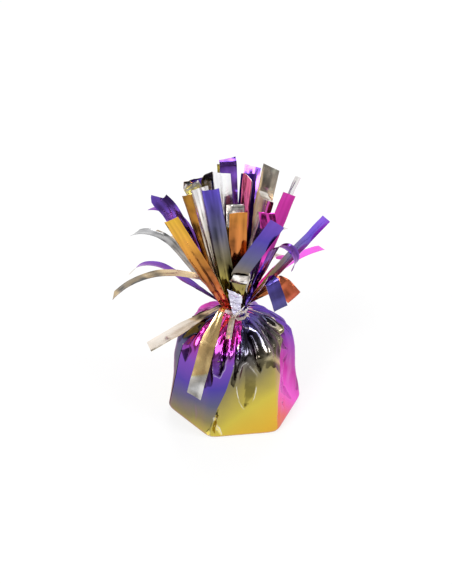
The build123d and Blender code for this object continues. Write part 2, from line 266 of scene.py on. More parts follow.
# Strips with a folded tip: share of the last run past the fold, degrees of the fold
TIP_FOLDS = {
    "left_back_tall": (0.16, -150),
    "left_tall": (0.16, -60),
    "inner_left": (0.07, -70),
    "core_front": (0.17, 160),
    "inner_back": (0.06, 60),
    "front_inner_right": (0.14, 120),
    "inner_right": (0.10, -80),
    "back_left": (0.10, -90),
}

# Painted light and shade along a strip: strength of its painted streaks of reflection, share where the tone
# of its plain side changes, slant of that change, painted darkening at shares of its length (a painted
# highlight below 0)
STRIP_TONES_AND_PAINTED_SHADE = {
    "left_arch": (0.15, 0.67, 0.02, (
        (0, 0.7), (0.15, 1.1), (0.24, 0.9), (0.28, 0), (0.58, 0), (0.64, 0.9), (0.67, 0.8), (0.71, 0.2),
        (0.74, 1.1), (0.93, 1.0), (0.96, 0), (1, 0.6))),
    "left_low": (0.10, 0.42, 0.04, (
        (0, 0.3), (0.24, 0), (0.30, 0.9), (0.37, 0.9), (0.40, 0), (0.60, -0.2), (1, -0.2))),
    "front_hanging": (0.06, 0.78, 0.035, (
        (0, 0.2), (0.25, -0.4), (0.77, -0.4), (0.785, -0.7), (1, -0.7))),
    "right_long": (0.08, 0.67, 0, ((0, 0.5), (0.4, 0), (0.6, -0.6), (1, -0.9))),
    "right_bowed": (0.20, 0.67, 0, ((0, 0.4), (0.4, -0.4), (1, -0.6))),
    "right_folded": (0.15, 0.67, 0, ((0, 0.3), (0.5, 0.2), (1, 0))),
    "front_left": (0.40, 0.67, 0, (
        (0, 0), (0.15, -0.1), (0.3, 0.3), (0.45, 0.6), (0.66, 0.1), (1, -0.1))),
    "front_left_tall": (0.60, 0.67, 0, ((0, 0.9), (0.4, 0.87), (0.8, 0.82), (1, 0.72))),
    "front_inner_left": (0.80, 0.67, 0, ((0, 0.7), (0.4, 0.4), (0.8, 0.1), (1, 0))),
    "front_tall": (0.80, 0.67, 0, ((0, 0.75), (0.5, 0.4), (0.72, 0), (1, -0.1))),
    "front_centre": (0.60, 0.67, 0, ((0, 0.85), (0.35, 0.6), (0.6, 0.45), (0.85, 0.25), (1, 0.05))),
    "front_right": (0.06, 0.67, 0, ((0, 0.4), (0.2, 0), (1, -0.15))),
    "right_wide": (0.30, 0.67, 0, ((0, 0.5), (0.3, 0.3), (0.42, -0.8), (0.52, 0.2), (1, 0))),
    "front_inner_right": (0.40, 0.67, 0, ((0, 0.6), (0.4, 0), (1, -0.2))),
    "right_curled": (0.60, 0.67, 0, (
        (0, -0.2), (0.2, -0.5), (0.3, 0.3), (0.5, -0.8), (0.62, 0.4), (1, 0))),
    "left_tall": (0.50, 0.67, 0, ((0, 0.6), (0.6, 0.2), (0.8, -0.8), (0.88, 0.4), (1, -0.1))),
    "left_middle_arch": (0.30, 0.67, 0, ((0, 0.5), (0.4, 0.4), (0.7, 0.75), (1, 0.6))),
    "right_back": (0.10, 0.67, 0, ((0, 0.5), (0.5, 0.1), (0.7, -0.3), (1, -0.3))),
    "left_back_tall": (0.25, 0.67, 0, ((0, 0.6), (0.6, 0.2), (0.8, -0.1), (1, -0.1))),
    "core_left": (0.25, 0.67, 0, ((0, 0.5), (0.6, 0.2), (0.8, -0.2), (1, -0.2))),
    "inner_left": (0.40, 0.67, 0, ((0, 0.4), (0.6, 0.2), (0.85, 0.2), (0.91, 0.6), (1, 0.4))),
    "inner_back": (0.30, 0.67, 0, ((0, 0.5), (0.7, 0.1), (0.86, -0.8), (0.92, 0.2), (1, 0))),
}
PLAIN_TONE_AND_PAINTED_SHADE = (0.25, 0.67, 0, ((0, 0.5), (0.4, 0.1), (1, 0)))

# Valleys drawn down the shoulder from the neck: azimuth at the neck, azimuth and
# height of the pointed foot, reach to the left and right in degrees, depth
SHOULDER_VALLEYS = (
    (300, 296.0, 34.0, 10.0, 9.0, 4.6),
    (284, 280.0, 41.0, 6.0, 6.5, 3.0),
    (277, 268.5, 27.5, 4.5, 5.0, 3.4),
    (320, 313.0, 39.0, 5.0, 8.0, 3.0),
    (333, 329.0, 41.0, 6.0, 6.0, 2.8),
    (200, 205.6, 32.5, 8.0, 8.0, 4.0),
    (230, 241.0, 26.0, 9.0, 8.0, 4.4),
    (253, 255.5, 34.0, 8.0, 8.0, 4.6),
    (214, 220.5, 40.0, 6.0, 6.0, 2.8),
    (265, 264.0, 41.0, 4.0, 4.0, 2.4),
    (188, 190.0, 41.0, 6.0, 6.0, 2.8),
    (346, 346.5, 35.0, 8.0, 7.0, 3.8),
    (4, 2.0, 38.0, 7.0, 7.0, 3.0),
)

# Dents pressed into the walls: azimuth and height of the top, of the pointed foot,
# reach to the left and right in degrees, share of the way down where it is widest, depth
WALL_DENTS = (
    (279.0, 41.5, 279.5, 15.5, 7.5, 12.5, 0.36, -1.5),
    (327.0, 14.0, 328.5, 7.0, 4.5, 3.0, 0.50, -0.7),
    (313.0, 11.0, 312.0, 5.0, 3.0, 3.0, 0.50, -0.6),
    (257.0, 18.5, 252.5, 1.5, 1.8, 2.0, 0.70, 1.3),
    (253.8, 15.0, 250.2, 1.5, 1.2, 1.4, 0.70, -1.3),
    (226.0, 14.0, 228.0, 3.0, 6.0, 5.0, 0.50, -0.5),
    (336.0, 34.0, 332.0, 16.0, 5.0, 8.0, 0.40, -0.9),
)

# Facets pressed into the film: painted shade of their dark reflections (a painted highlight below 0),
# strength of the painted highlight line along the fold, depth in mm, outline as azimuth and height of its
# points
FACETS_AND_PAINTED_SHADE = (
    (0.48, 0.00, 0.3, (
        (282.0, 52.5), (288.0, 53.5), (286.3, 46.2), (292.6, 36.9), (287.7, 37.6), (282.8, 41.0),
        (277.5, 39.5), (274.5, 36.0), (273.0, 42.1), (279.0, 47.0))),
    (0.70, 0.35, 0.5, (
        (288.0, 53.5), (315.7, 51.6), (303.9, 47.1), (300.3, 38.6), (296.1, 34.0), (292.6, 36.9),
        (286.3, 46.2), (283.9, 50.6))),
    (0.10, 0.65, 0.6, (
        (282.8, 41.0), (277.5, 39.5), (273.8, 34.6), (271.3, 27.2), (274.1, 19.4), (279.2, 15.1),
        (286.3, 17.4), (289.9, 21.3), (292.4, 28.8), (292.3, 33.9), (287.7, 37.6))),
    (0.55, 0.00, 0.3, (
        (281.0, 36.3), (283.8, 40.0), (287.7, 36.8), (291.5, 33.4), (291.7, 28.8), (289.0, 22.3),
        (283.6, 18.4), (280.4, 17.0), (281.0, 29.3))),
    (-0.70, 0.00, -0.4, (
        (308.8, 51.5), (308.7, 49.2), (309.2, 44.3), (322.8, 36.4), (325.1, 33.1), (308.5, 41.1),
        (302.4, 41.5), (302.9, 44.8))),
    (0.88, 0.20, 0.4, (
        (334.0, 54.4), (324.5, 51.9), (316.0, 47.1), (312.0, 44.0), (322.8, 37.4), (327.0, 36.0),
        (328.0, 44.0))),
    (0.80, 0.15, 0.4, (
        (334.0, 54.4), (329.0, 45.0), (338.0, 46.0), (352.0, 46.5), (364.0, 49.0), (358.0, 54.0))),
    (0.90, 0.00, 0.3, (
        (300.5, 37.1), (303.5, 36.4), (306.1, 37.9), (308.4, 36.2), (313.0, 35.6), (317.0, 32.0),
        (322.4, 28.1), (325.1, 33.1), (308.4, 40.6), (302.3, 41.0))),
    (0.93, 0.00, 0.4, ((196.5, 37.1), (211.3, 42.8), (215.1, 41.3), (206.1, 32.0), (200.8, 35.0))),
    (0.92, 0.00, 0.4, (
        (245.1, 42.3), (248.0, 37.7), (250.0, 33.1), (248.8, 28.9), (243.8, 28.0), (240.2, 25.5),
        (237.9, 26.7), (232.1, 26.2), (238.2, 35.1))),
    (0.35, 0.30, 0.5, (
        (245.1, 44.6), (247.2, 49.5), (254.5, 50.3), (261.7, 44.3), (260.4, 39.1), (255.3, 33.6),
        (249.3, 36.1))),
    (0.92, 0.00, 0.4, (
        (254.7, 35.4), (253.9, 40.4), (256.0, 43.8), (256.8, 48.6), (260.5, 46.5), (260.5, 42.8),
        (257.3, 37.3))),
    (0.95, 0.00, 0.4, (
        (265.0, 29.9), (265.9, 32.4), (272.3, 42.1), (273.3, 36.6), (271.3, 30.7), (268.9, 27.3))),
    (0.88, 0.20, 0.4, (
        (188.1, 45.5), (189.1, 50.8), (194.7, 52.7), (195.4, 49.8), (195.9, 42.8), (192.0, 39.2))),
    (0.30, 0.10, 0.4, (
        (326.5, 30.6), (327.9, 23.4), (340.9, 12.4), (351.5, 3.3), (322.3, 18.1), (321.3, 23.7))),
    (0.40, 0.00, 0.3, ((358.0, 8.1), (3.4, 15.8), (7.5, 13.0), (7.3, 4.7))),
    (0.60, 0.10, 0.3, ((317.0, 14.8), (325.0, 11.8), (333.3, 9.0), (326.0, 10.2), (321.0, 12.4))),
    (0.60, 0.10, 0.5, ((338.6, 45.6), (350.2, 35.0), (330.2, 41.2))),
    (0.45, 0.05, 0.4, ((331.8, 34.5), (352.6, 34.4), (345.8, 33.0), (333.2, 31.0))),
    (0.97, 0.00, 0.2, ((250.0, 9.4), (249.5, 6.8), (248.3, 4.4), (244.2, 2.0), (247.2, 5.6))),
    (0.97, 0.00, 0.2, ((252.0, 12.8), (254.3, 17.0), (255.4, 16.2), (253.8, 12.7))),
    (-0.60, 0.60, -0.4, ((250.6, 11.9), (252.4, 11.5), (258.3, 1.7), (256.6, 1.5))),
    (-0.60, 0.20, -0.3, ((244.7, 2.7), (247.3, 4.4), (249.0, 4.2), (248.6, 2.7), (246.1, 1.1))),
)

# Print on each panel: place in the run of colours at the middle of the foot, turns of
# the run for each 100 mm up the panel and across it
PANEL_PRINTS = (
    (0.190, 0.71, 0.09), (0.095, 0.43, -0.57), (0.847, -0.28, -0.66),
    (0.755, -0.95, 0.22), (0.845, -0.45, 0.28), (0.085, 0.62, 0.70))

# Lean of each lap's free edge past its corner: height, degrees; the front's own, and the
# share of the lean that each panel's lap has
LAP_LEANS = (
    (0, 0.6), (6, 1.5), (17, 6), (26, 13), (33, 17), (40, 21), (44, 24), (48, 29), (52, 34),
    (54, 38), (56, 44))
FRONT_PANEL = 4
FRONT_LAP_LEANS = (
    (0, 0.6), (6, 1.5), (17, 6), (26, 12), (34, 15), (39, 18), (42, 27), (45, 42), (48, 54), (52, 62),
    (56, 66))
LAP_SHARES = (0.80, 1.05, 0.50, 1.00, 1.00, 0.85)


class FilmSettings(bpy.types.PropertyGroup):
    """The metallised film and its print."""

    thickness: FloatProperty(
        name="Film thickness", description="Thickness of the film as shown",
        default=0.08 * MM, min=0.02 * MM, unit="LENGTH")
    blank_width: FloatProperty(
        name="Blank width", description="Side of the square of film that the wrap shows, laid flat",
        default=165 * MM, unit="LENGTH")
    strip_length: FloatProperty(
        name="Strip length", description="Length that the strips' shares refer to",
        default=70 * MM, unit="LENGTH")
    strip_width: FloatProperty(
        name="Strip width", description="Width of a cut strip",
        default=8.5 * MM, unit="LENGTH")
    gather_width: FloatProperty(
        name="Gathered width", description="Width of a strip where it leaves the neck",
        default=3.4 * MM, unit="LENGTH")
    gather_length: FloatProperty(
        name="Gather length", description="Length over which a strip opens out",
        default=24 * MM, unit="LENGTH")
    coral: FloatVectorProperty(
        name="Coral", description="Printed coral",
        default=(0.80, 0.19, 0.11), subtype="COLOR", min=0, max=1)
    pink: FloatVectorProperty(
        name="Pink", description="Printed pink",
        default=(0.90, 0.12, 0.62), subtype="COLOR", min=0, max=1)
    magenta: FloatVectorProperty(
        name="Magenta", description="Printed magenta",
        default=(0.50, 0.035, 0.30), subtype="COLOR", min=0, max=1)
    purple: FloatVectorProperty(
        name="Purple", description="Printed purple",
        default=(0.20, 0.075, 0.44), subtype="COLOR", min=0, max=1)
    violet: FloatVectorProperty(
        name="Violet", description="Printed blue violet",
        default=(0.085, 0.06, 0.36), subtype="COLOR", min=0, max=1)
    slate: FloatVectorProperty(
        name="Slate", description="Grey between blue and yellow",
        default=(0.12, 0.12, 0.20), subtype="COLOR", min=0, max=1)
    olive: FloatVectorProperty(
        name="Olive", description="Olive between grey and yellow",
        default=(0.26, 0.22, 0.10), subtype="COLOR", min=0, max=1)
    yellow: FloatVectorProperty(
        name="Yellow", description="Printed yellow",
        default=(0.62, 0.50, 0.075), subtype="COLOR", min=0, max=1)
    gold: FloatVectorProperty(
        name="Gold", description="Printed gold",
        default=(0.72, 0.44, 0.05), subtype="COLOR", min=0, max=1)
    orange: FloatVectorProperty(
        name="Orange", description="Printed orange",
        default=(0.70, 0.27, 0.06), subtype="COLOR", min=0, max=1)
    silver: FloatVectorProperty(
        name="Silver", description="Cool tone of the plain reverse",
        default=(0.80, 0.80, 0.82), subtype="COLOR", min=0, max=1)
    champagne: FloatVectorProperty(
        name="Champagne", description="Warm tone of the plain reverse",
        default=(0.68, 0.48, 0.23), subtype="COLOR", min=0, max=1)


class WrapSettings(bpy.types.PropertyGroup):
    """The wrapped and gathered part of the film."""

    base_radius: FloatProperty(
        name="Base radius", description="Base of the wrap across its corners",
        default=35.1 * MM, unit="LENGTH")
    edge_radius: FloatProperty(
        name="Edge radius", description="Top of the walls across the corners",
        default=28.9 * MM, unit="LENGTH")
    waist_radius: FloatProperty(
        name="Waist radius", description="Gathered neck under the tie",
        default=5.6 * MM, unit="LENGTH")
    lap_gap: FloatProperty(
        name="Lap gap", description="Space between the layers of a lap",
        default=0.14 * MM, unit="LENGTH")
    sag: FloatProperty(
        name="Undulation", description="Height of the soft waves of the film",
        default=0.34 * MM, unit="LENGTH")
    crumple: FloatProperty(
        name="Crumple", description="Height of the small facets near the neck",
        default=0.30 * MM, unit="LENGTH")
    puff: FloatProperty(
        name="Puff", description="How far the film stands off the cup between its valleys",
        default=1.1 * MM, unit="LENGTH")
    cup_radius: FloatProperty(
        name="Cup radius", description="Mouth of the cup across its corners",
        default=33.2 * MM, unit="LENGTH")
    cup_top_radius: FloatProperty(
        name="Cup top radius", description="Top of the cup across its corners",
        default=27.7 * MM, unit="LENGTH")
    seed: IntProperty(name="Seed", description="Choice of the folds at the back", default=11)


class StageSettings(bpy.types.PropertyGroup):
    """Floor, light and camera."""

    floor: FloatVectorProperty(
        name="Floor", description="Colour of the floor",
        default=(0.90, 0.90, 0.90), subtype="COLOR", min=0, max=1)
    key: FloatProperty(
        name="Key light", description="Power of the main soft light", default=9.0, unit="POWER")
    fill: FloatProperty(
        name="Fill light", description="Power of the side light", default=5.0, unit="POWER")
    elevation: FloatProperty(
        name="Elevation", description="Height angle of the camera", default=radians(30), subtype="ANGLE")
    lens: FloatProperty(name="Lens", description="Focal length on a 24 mm high frame", default=55.1)


# Materials

def link(tree, out, into):
    """Joins two sockets."""
    tree.links.new(out, into)


def node_of(tree, kind, values):
    """A new node with values set on its sockets."""
    node = tree.nodes.new(kind)
    for name, value in values.items():
        node.inputs[name].default_value = value
    return node


def new_material(name):
    """A node material with its shader."""
    material = bpy.data.materials.new(name)
    material.use_nodes = True
    tree = material.node_tree
    return material, tree, tree.nodes["Principled BSDF"]


def worked(tree, operation, *values):
    """Result of a math node on sockets and numbers."""
    node = tree.nodes.new("ShaderNodeMath")
    node.operation = operation
    for socket, value in zip(node.inputs, values):
        if isinstance(value, (int, float)):
            socket.default_value = value
        else:
            link(tree, value, socket)
    return node.outputs["Value"]


def vector_worked(tree, operation, first, second):
    """Result of a vector math node on a socket and a second socket or fixed vector."""
    node = tree.nodes.new("ShaderNodeVectorMath")
    node.operation = operation
    link(tree, first, node.inputs[0])
    socket = node.inputs["Scale"] if operation == "SCALE" else node.inputs[1]
    if isinstance(second, tuple):
        socket.default_value = second
    else:
        link(tree, second, socket)
    return node.outputs["Vector"]


def spread(tree, value, start, end, low=0.0, high=1.0, kind="LINEAR"):
    """A value moved from one range to another."""
    node = tree.nodes.new("ShaderNodeMapRange")
    node.interpolation_type = kind
    for name, limit in (("From Min", start), ("From Max", end), ("To Min", low), ("To Max", high)):
        node.inputs[name].default_value = limit
    link(tree, value, node.inputs["Value"])
    return node.outputs["Result"]


def stepped(tree, value, low, high):
    """Smooth step of a value between two limits."""
    return spread(tree, value, low, high, kind="SMOOTHSTEP")


def ramped(tree, value, stops):
    """Colour at a value, from stops of place and colour."""
    ramp = tree.nodes.new("ShaderNodeValToRGB")
    elements = ramp.color_ramp.elements
    while len(elements) < len(stops):
        elements.new(0.5)
    for element, (place, colour) in zip(elements, stops):
        element.position = place
        element.color = (*colour, 1)
    link(tree, value, ramp.inputs["Fac"])
    return ramp.outputs["Color"]


def mixed_colour(tree, share, colour, other):
    """A colour mixed with a fixed one."""
    mix = tree.nodes.new("ShaderNodeMix")
    mix.data_type = "RGBA"
    sockets = {socket.identifier: socket for socket in mix.inputs}
    link(tree, share, sockets["Factor_Float"])
    link(tree, colour, sockets["A_Color"])
    sockets["B_Color"].default_value = (*other, 1)
    return next(socket for socket in mix.outputs if socket.identifier == "Result_Color")


def object_noise(tree, scale, detail, rough=0.5):
    """Noise on object coordinates."""
    place = tree.nodes.new("ShaderNodeTexCoord")
    cloud = node_of(tree, "ShaderNodeTexNoise", {"Scale": scale, "Detail": detail, "Roughness": rough})
    link(tree, place.outputs["Object"], cloud.inputs["Vector"])
    return cloud.outputs["Fac"]


def attribute_of(tree, name):
    """Value of a named attribute of the mesh."""
    node = tree.nodes.new("ShaderNodeAttribute")
    node.attribute_name = name
    return node.outputs["Fac"]


def surface(tree, shader, colour, metallic, rough, crinkle):
    """Colour, metal, roughness (scale, lowest, highest) and crinkle (scale, strength, depth) of a shader."""
    link(tree, colour, shader.inputs["Base Color"])
    shader.inputs["Metallic"].default_value = metallic
    scale, low, high = rough
    link(tree, spread(tree, object_noise(tree, scale, 2.0), 0.3, 0.7, low, high), shader.inputs["Roughness"])
    scale, strength, depth = crinkle
    bump = node_of(tree, "ShaderNodeBump", {"Strength": strength, "Distance": depth})
    link(tree, object_noise(tree, scale, 3.0, 0.6), bump.inputs["Height"])
    link(tree, bump.outputs["Normal"], shader.inputs["Normal"])


def painted_fold_shading(tree, colour):
    """A film colour with painted shade and painted highlights: darker or lighter in its facets and pale along
    their folds.
    """
    math = partial(worked, tree)
    cloud = object_noise(tree, 130, 2.0)
    ripple = object_noise(tree, 260, 2.0)
    fold = math("MULTIPLY_ADD", ripple, EDGE_WANDER, attribute_of(tree, "fold_at"))
    fold = math("SUBTRACT", fold, EDGE_WANDER / 2)
    inside = stepped(tree, fold, FOLD_EDGE - 0.15, FOLD_EDGE + 0.35)
    uneven = math("MULTIPLY_ADD", stepped(tree, cloud, 0.35, 0.62), 0.40, 0.66)
    dark = math("MULTIPLY", math("MULTIPLY", attribute_of(tree, "painted_shade_at"), inside), uneven)
    # Painted shade darkens the colour, and below 0 it lightens it as a painted highlight
    gain = math("MULTIPLY_ADD", math("MAXIMUM", dark, 0.0), -PAINTED_SHADE_LOSS, 1.0)
    gain = math("MULTIPLY_ADD", math("MINIMUM", dark, 0.0), -PAINTED_HIGHLIGHT_GAIN, gain)
    gain = math("MAXIMUM", gain, LEAST_GAIN)
    shaded = vector_worked(tree, "MINIMUM", vector_worked(tree, "SCALE", colour, gain), BRIGHTEST)
    # Painted highlight line along each fold
    off = stepped(tree, math("ABSOLUTE", math("SUBTRACT", fold, FOLD_EDGE)), 0.05, 0.36)
    line = math("MULTIPLY", attribute_of(tree, "painted_highlight_at"), math("SUBTRACT", 1.0, off))
    line = math("MULTIPLY", line, stepped(tree, cloud, 0.40, 0.62))
    return mixed_colour(tree, line, shaded, PAINTED_FOLD_HIGHLIGHT)


def printed_film(film):
    """Metallised film with the run of colours, read from the print_at attribute, and painted shade in its
    facets.
    """
    material, tree, shader = new_material("printed_film")
    drift = worked(tree, "MULTIPLY_ADD", object_noise(tree, 60, 2.0), 0.05, attribute_of(tree, "print_at"))
    colour = ramped(tree, worked(tree, "FRACT", drift), (
        (0.00, film.orange), (0.08, film.coral), (0.19, film.pink), (0.29, film.magenta), (0.45, film.purple),
        (0.57, film.violet), (0.66, film.slate), (0.74, film.olive), (0.82, film.yellow), (0.89, film.gold),
        (1.00, film.orange)))
    surface(tree, shader, painted_fold_shading(tree, colour), 1.0, (90, 0.10, 0.20), (420, 0.1, 0.0003))
    shader.inputs["Specular Tint"].default_value = (*EDGE_TINT, 1)
    return material


def plain_film(film):
    """The plain silver reverse, warm or cool by the tone_at attribute, with painted shade in its facets."""
    material, tree, shader = new_material("plain_film")
    drift = worked(tree, "MULTIPLY_ADD", object_noise(tree, 70, 2.0), 0.3, attribute_of(tree, "tone_at"))
    colour = ramped(tree, drift, ((0.2, film.silver), (1.0, film.champagne)))
    surface(tree, shader, painted_fold_shading(tree, colour), 1.0, (90, 0.14, 0.26), (380, 0.12, 0.0003))
    return material


def ribbon_film():
    """Pale, slightly milky film of the tie, tan, white or lavender by the tone_at attribute."""
    material, tree, shader = new_material("ribbon_film")
    drift = worked(tree, "MULTIPLY_ADD", object_noise(tree, 160, 3.0), 0.7, attribute_of(tree, "tone_at"))
    colour = ramped(tree, worked(tree, "SUBTRACT", drift, 0.35), (
        (0.00, (0.46, 0.38, 0.31)), (0.30, (0.78, 0.71, 0.63)), (0.55, (0.92, 0.91, 0.94)),
        (1.00, (0.52, 0.49, 0.76))))
    surface(tree, shader, colour, 0.4, (120, 0.16, 0.32), (500, 0.3, 0.0004))
    return material


def mottled(name, dark, light, scale, rough, depth):
    """A dull, mottled material for the pieces inside."""
    material, tree, shader = new_material(name)
    colour = ramped(tree, object_noise(tree, scale, 6.0, 0.65), ((0.35, dark), (0.65, light)))
    surface(tree, shader, colour, 0.0, (scale, rough - 0.1, rough + 0.1), (scale * 3, 0.3, depth))
    return material


def film_materials(film):
    """The printed and the plain side, made when they are first asked for."""
    found = bpy.data.materials
    return found.get("printed_film") or printed_film(film), found.get("plain_film") or plain_film(film)


# Strip along a route

def film_strip_tree():
    """Node tree that lays a strip of film along a route."""
    tree = bpy.data.node_groups.new(STRIP_TREE, "GeometryNodeTree")
    sockets = tree.interface
    sockets.new_socket(name="Route", in_out="INPUT", socket_type="NodeSocketGeometry")
    for name, kind, value in (
            ("Cells across", "NodeSocketInt", 10), ("Cells along", "NodeSocketInt", 80),
            ("Tip cut", "NodeSocketFloat", 0.0), ("Wave", "NodeSocketFloat", 0.4 * MM),
            ("Seed", "NodeSocketFloat", 0.0), ("Slant", "NodeSocketFloat", 0.0)):
        sockets.new_socket(name=name, in_out="INPUT", socket_type=kind).default_value = value
    sockets.new_socket(name="Film", in_out="INPUT", socket_type="NodeSocketMaterial")
    sockets.new_socket(name="Strip", in_out="OUTPUT", socket_type="NodeSocketGeometry")
    given = tree.nodes.new("NodeGroupInput")
    result = tree.nodes.new("NodeGroupOutput")
    math = partial(worked, tree)
    vector = partial(vector_worked, tree)

    # Grid of the flat strip: across from -1 to 1, and its share of the route up to the cut tip
    line = tree.nodes.new("GeometryNodeMeshToCurve")
    link(tree, given.outputs["Route"], line.inputs["Mesh"])
    grid = node_of(tree, "GeometryNodeMeshGrid", {"Size X": 2, "Size Y": 1})
    link(tree, math("ADD", given.outputs["Cells across"], 1), grid.inputs["Vertices X"])
    link(tree, math("ADD", given.outputs["Cells along"], 1), grid.inputs["Vertices Y"])
    place = tree.nodes.new("GeometryNodeInputPosition")
    parts = tree.nodes.new("ShaderNodeSeparateXYZ")
    link(tree, place.outputs[0], parts.inputs[0])
    across = parts.outputs["X"]
    along = math("ADD", parts.outputs["Y"], 0.5)
    cut = given.outputs["Tip cut"]
    reach = math("MULTIPLY_ADD", across, cut, math("SUBTRACT", 1.0, math("ABSOLUTE", cut)))
    factor = math("MULTIPLY", along, reach)
    slanted = math("MULTIPLY_ADD", across, given.outputs["Slant"], factor)

    def sampled(name, kind="FLOAT", at=factor):
        """Outputs of a node that reads an attribute along the route."""
        attribute = node_of(tree, "GeometryNodeInputNamedAttribute", {"Name": name})
        attribute.data_type = kind
        sample = tree.nodes.new("GeometryNodeSampleCurve")
        sample.data_type = kind
        sample.mode = "FACTOR"
        sample.use_all_curves = True
        link(tree, line.outputs["Curve"], sample.inputs["Curves"])
        link(tree, attribute.outputs["Attribute"], sample.inputs["Value"])
        link(tree, at, sample.inputs["Factor"])
        return sample.outputs

    def spot(across_scale, along_scale, seed):
        """Place on the strip for a texture."""
        node = tree.nodes.new("ShaderNodeCombineXYZ")
        link(tree, math("MULTIPLY", across, across_scale), node.inputs["X"])
        link(tree, math("MULTIPLY", factor, along_scale), node.inputs["Y"])
        link(tree, seed, node.inputs["Z"])
        return node.outputs[0]

    def textured(kind, values, at, out):
        """Output of a texture at a place."""
        node = node_of(tree, kind, values)
        link(tree, at, node.inputs["Vector"])
        return node.outputs[out]

    # Zigzag of the gathers, cross curl, soft waves and crushed facets, all along the face
    zigzag = math("SUBTRACT", math("PINGPONG", math("ADD", across, 1.15), 0.5), 0.25)
    lift = math("MULTIPLY", sampled("fold")["Value"], zigzag)
    lift = math("MULTIPLY_ADD", sampled("curl")["Value"], math("MULTIPLY", across, across), lift)
    at = spot(0.35, 5.0, given.outputs["Seed"])
    wave = textured("ShaderNodeTexNoise", {"Scale": 1.0, "Detail": 1.0}, at, "Fac")
    lift = math("ADD", lift, math("MULTIPLY", math("SUBTRACT", wave, 0.5), given.outputs["Wave"]))
    facet = textured("ShaderNodeTexVoronoi", {"Scale": 2.6}, at, "Distance")
    lift = math("ADD", lift, math("MULTIPLY", math("SUBTRACT", facet, 0.5), sampled("crush")["Value"]))
    wide = sampled("wide", "FLOAT_VECTOR")
    aside = vector("SCALE", wide["Value"], math("MULTIPLY", sampled("half")["Value"], across))
    raised = vector("SCALE", sampled("face", "FLOAT_VECTOR")["Value"], lift)
    goal = vector("ADD", wide["Position"], vector("ADD", aside, raised))

    # Attributes for the materials, with painted streaks of light and shade along the strip added to its
    # painted shade
    at = spot(1.9, 2.2, math("ADD", given.outputs["Seed"], 7.5))
    painted_streaks = textured("ShaderNodeTexNoise", {"Scale": 1.0, "Detail": 1.0}, at, "Fac")
    painted_streaks = math("MULTIPLY", math("SUBTRACT", painted_streaks, 0.48), 6.0)
    painted_streaks = math("MINIMUM", math("MAXIMUM", painted_streaks, -0.8), 1.1)
    painted_streaks = math("MULTIPLY", painted_streaks, sampled("painted_streak")["Value"])
    kept = {name: sampled(name, at=slanted)["Value"] for name in ("print_at", "tone_at", "painted_shade_at")}
    kept["painted_shade_at"] = math("ADD", kept["painted_shade_at"], painted_streaks)
    # Each strip counts as wholly inside a facet, so its painted shade shows in full, without a painted
    # highlight line
    kept["fold_at"] = math("ADD", FOLD_EDGE, FOLD_EDGE)
    geometry = grid.outputs["Mesh"]
    for name, value in kept.items():
        store = node_of(tree, "GeometryNodeStoreNamedAttribute", {"Name": name})
        store.data_type = "FLOAT"
        store.domain = "POINT"
        link(tree, geometry, store.inputs["Geometry"])
        link(tree, value, store.inputs["Value"])
        geometry = store.outputs["Geometry"]
    for kind, socket, value in (
            ("GeometryNodeSetPosition", "Position", goal), ("GeometryNodeSetShadeSmooth", None, None),
            ("GeometryNodeSetMaterial", "Material", given.outputs["Film"])):
        node = tree.nodes.new(kind)
        link(tree, geometry, node.inputs["Geometry"])
        if socket:
            link(tree, value, node.inputs[socket])
        geometry = node.outputs["Geometry"]
    link(tree, geometry, result.inputs["Strip"])
    return tree


def level(azimuth):
    """Level direction at an azimuth in degrees."""
    return Vector((cos(radians(azimuth)), sin(radians(azimuth)), 0))


def swung(first, second, degrees):
    """Two square directions turned in their plane, the first towards the second."""
    c, s = cos(radians(degrees)), sin(radians(degrees))
    return first * c + second * s, second * c - first * s


def shares(count):
    """Even shares from 0 to 1."""
    return [step / (count - 1) for step in range(count)]


class Route:
    """Heading, width and face directions of a strip, run by run from the neck."""

    def __init__(self, ring, azimuth, leaning):
        self.place = level(azimuth) * (FIRST_RING + RING_STEP * ring) * MM + UP * WRAP_TOP
        self.along = UP.copy()
        self.face = level(leaning)
        self.wide = level(leaning + 90)
        self.points = []
        self.mark()

    def mark(self):
        """Keeps the place and directions reached."""
        self.points.append((self.place.copy(), self.wide.copy(), self.face.copy()))

    def start_at(self, height):
        """Starts above the neck, clear of its pleats."""
        self.place = self.place + UP * height
        self.points.clear()
        self.mark()

    def turn(self, degrees):
        """Turns the heading about the width."""
        self.along, self.face = swung(self.along, self.face, degrees)

    def tilt(self, degrees):
        """Turns the heading about the face."""
        self.along, self.wide = swung(self.along, self.wide, degrees)

    def run(self, length, degrees=0.0):
        """Goes on by a length, turning evenly about the width."""
        steps = max(2, int(length / RUN_STEP))
        for _ in range(steps):
            self.turn(degrees / steps / 2)
            self.place = self.place + self.along * (length / steps)
            self.turn(degrees / steps / 2)
            self.mark()


def strip_route(row, hinged, length, folded):
    """The route of one strip of the fringe, with its tip folded where it has a fold."""
    ring, azimuth, leaning, lean, tilted, runs = row
    route = Route(ring, azimuth, leaning)
    if hinged:
        route.start_at(HINGE_START)
        route.run(HINGE_RISE)
        route.turn(lean)
    else:
        route.run(ROOT_RISE)
        route.run(LEAN_RADIUS * radians(lean), lean)
    route.tilt(tilted)
    past, fold = folded
    for index, (share, degrees, *turned) in enumerate(runs):
        cut = past if index == len(runs) - 1 else 0
        route.tilt(sum(turned))
        route.run(length * share * (1 - cut), degrees)
        if cut:
            route.run(TIP_FOLD_LENGTH, fold)
            route.run(length * share * cut)
    return route.points


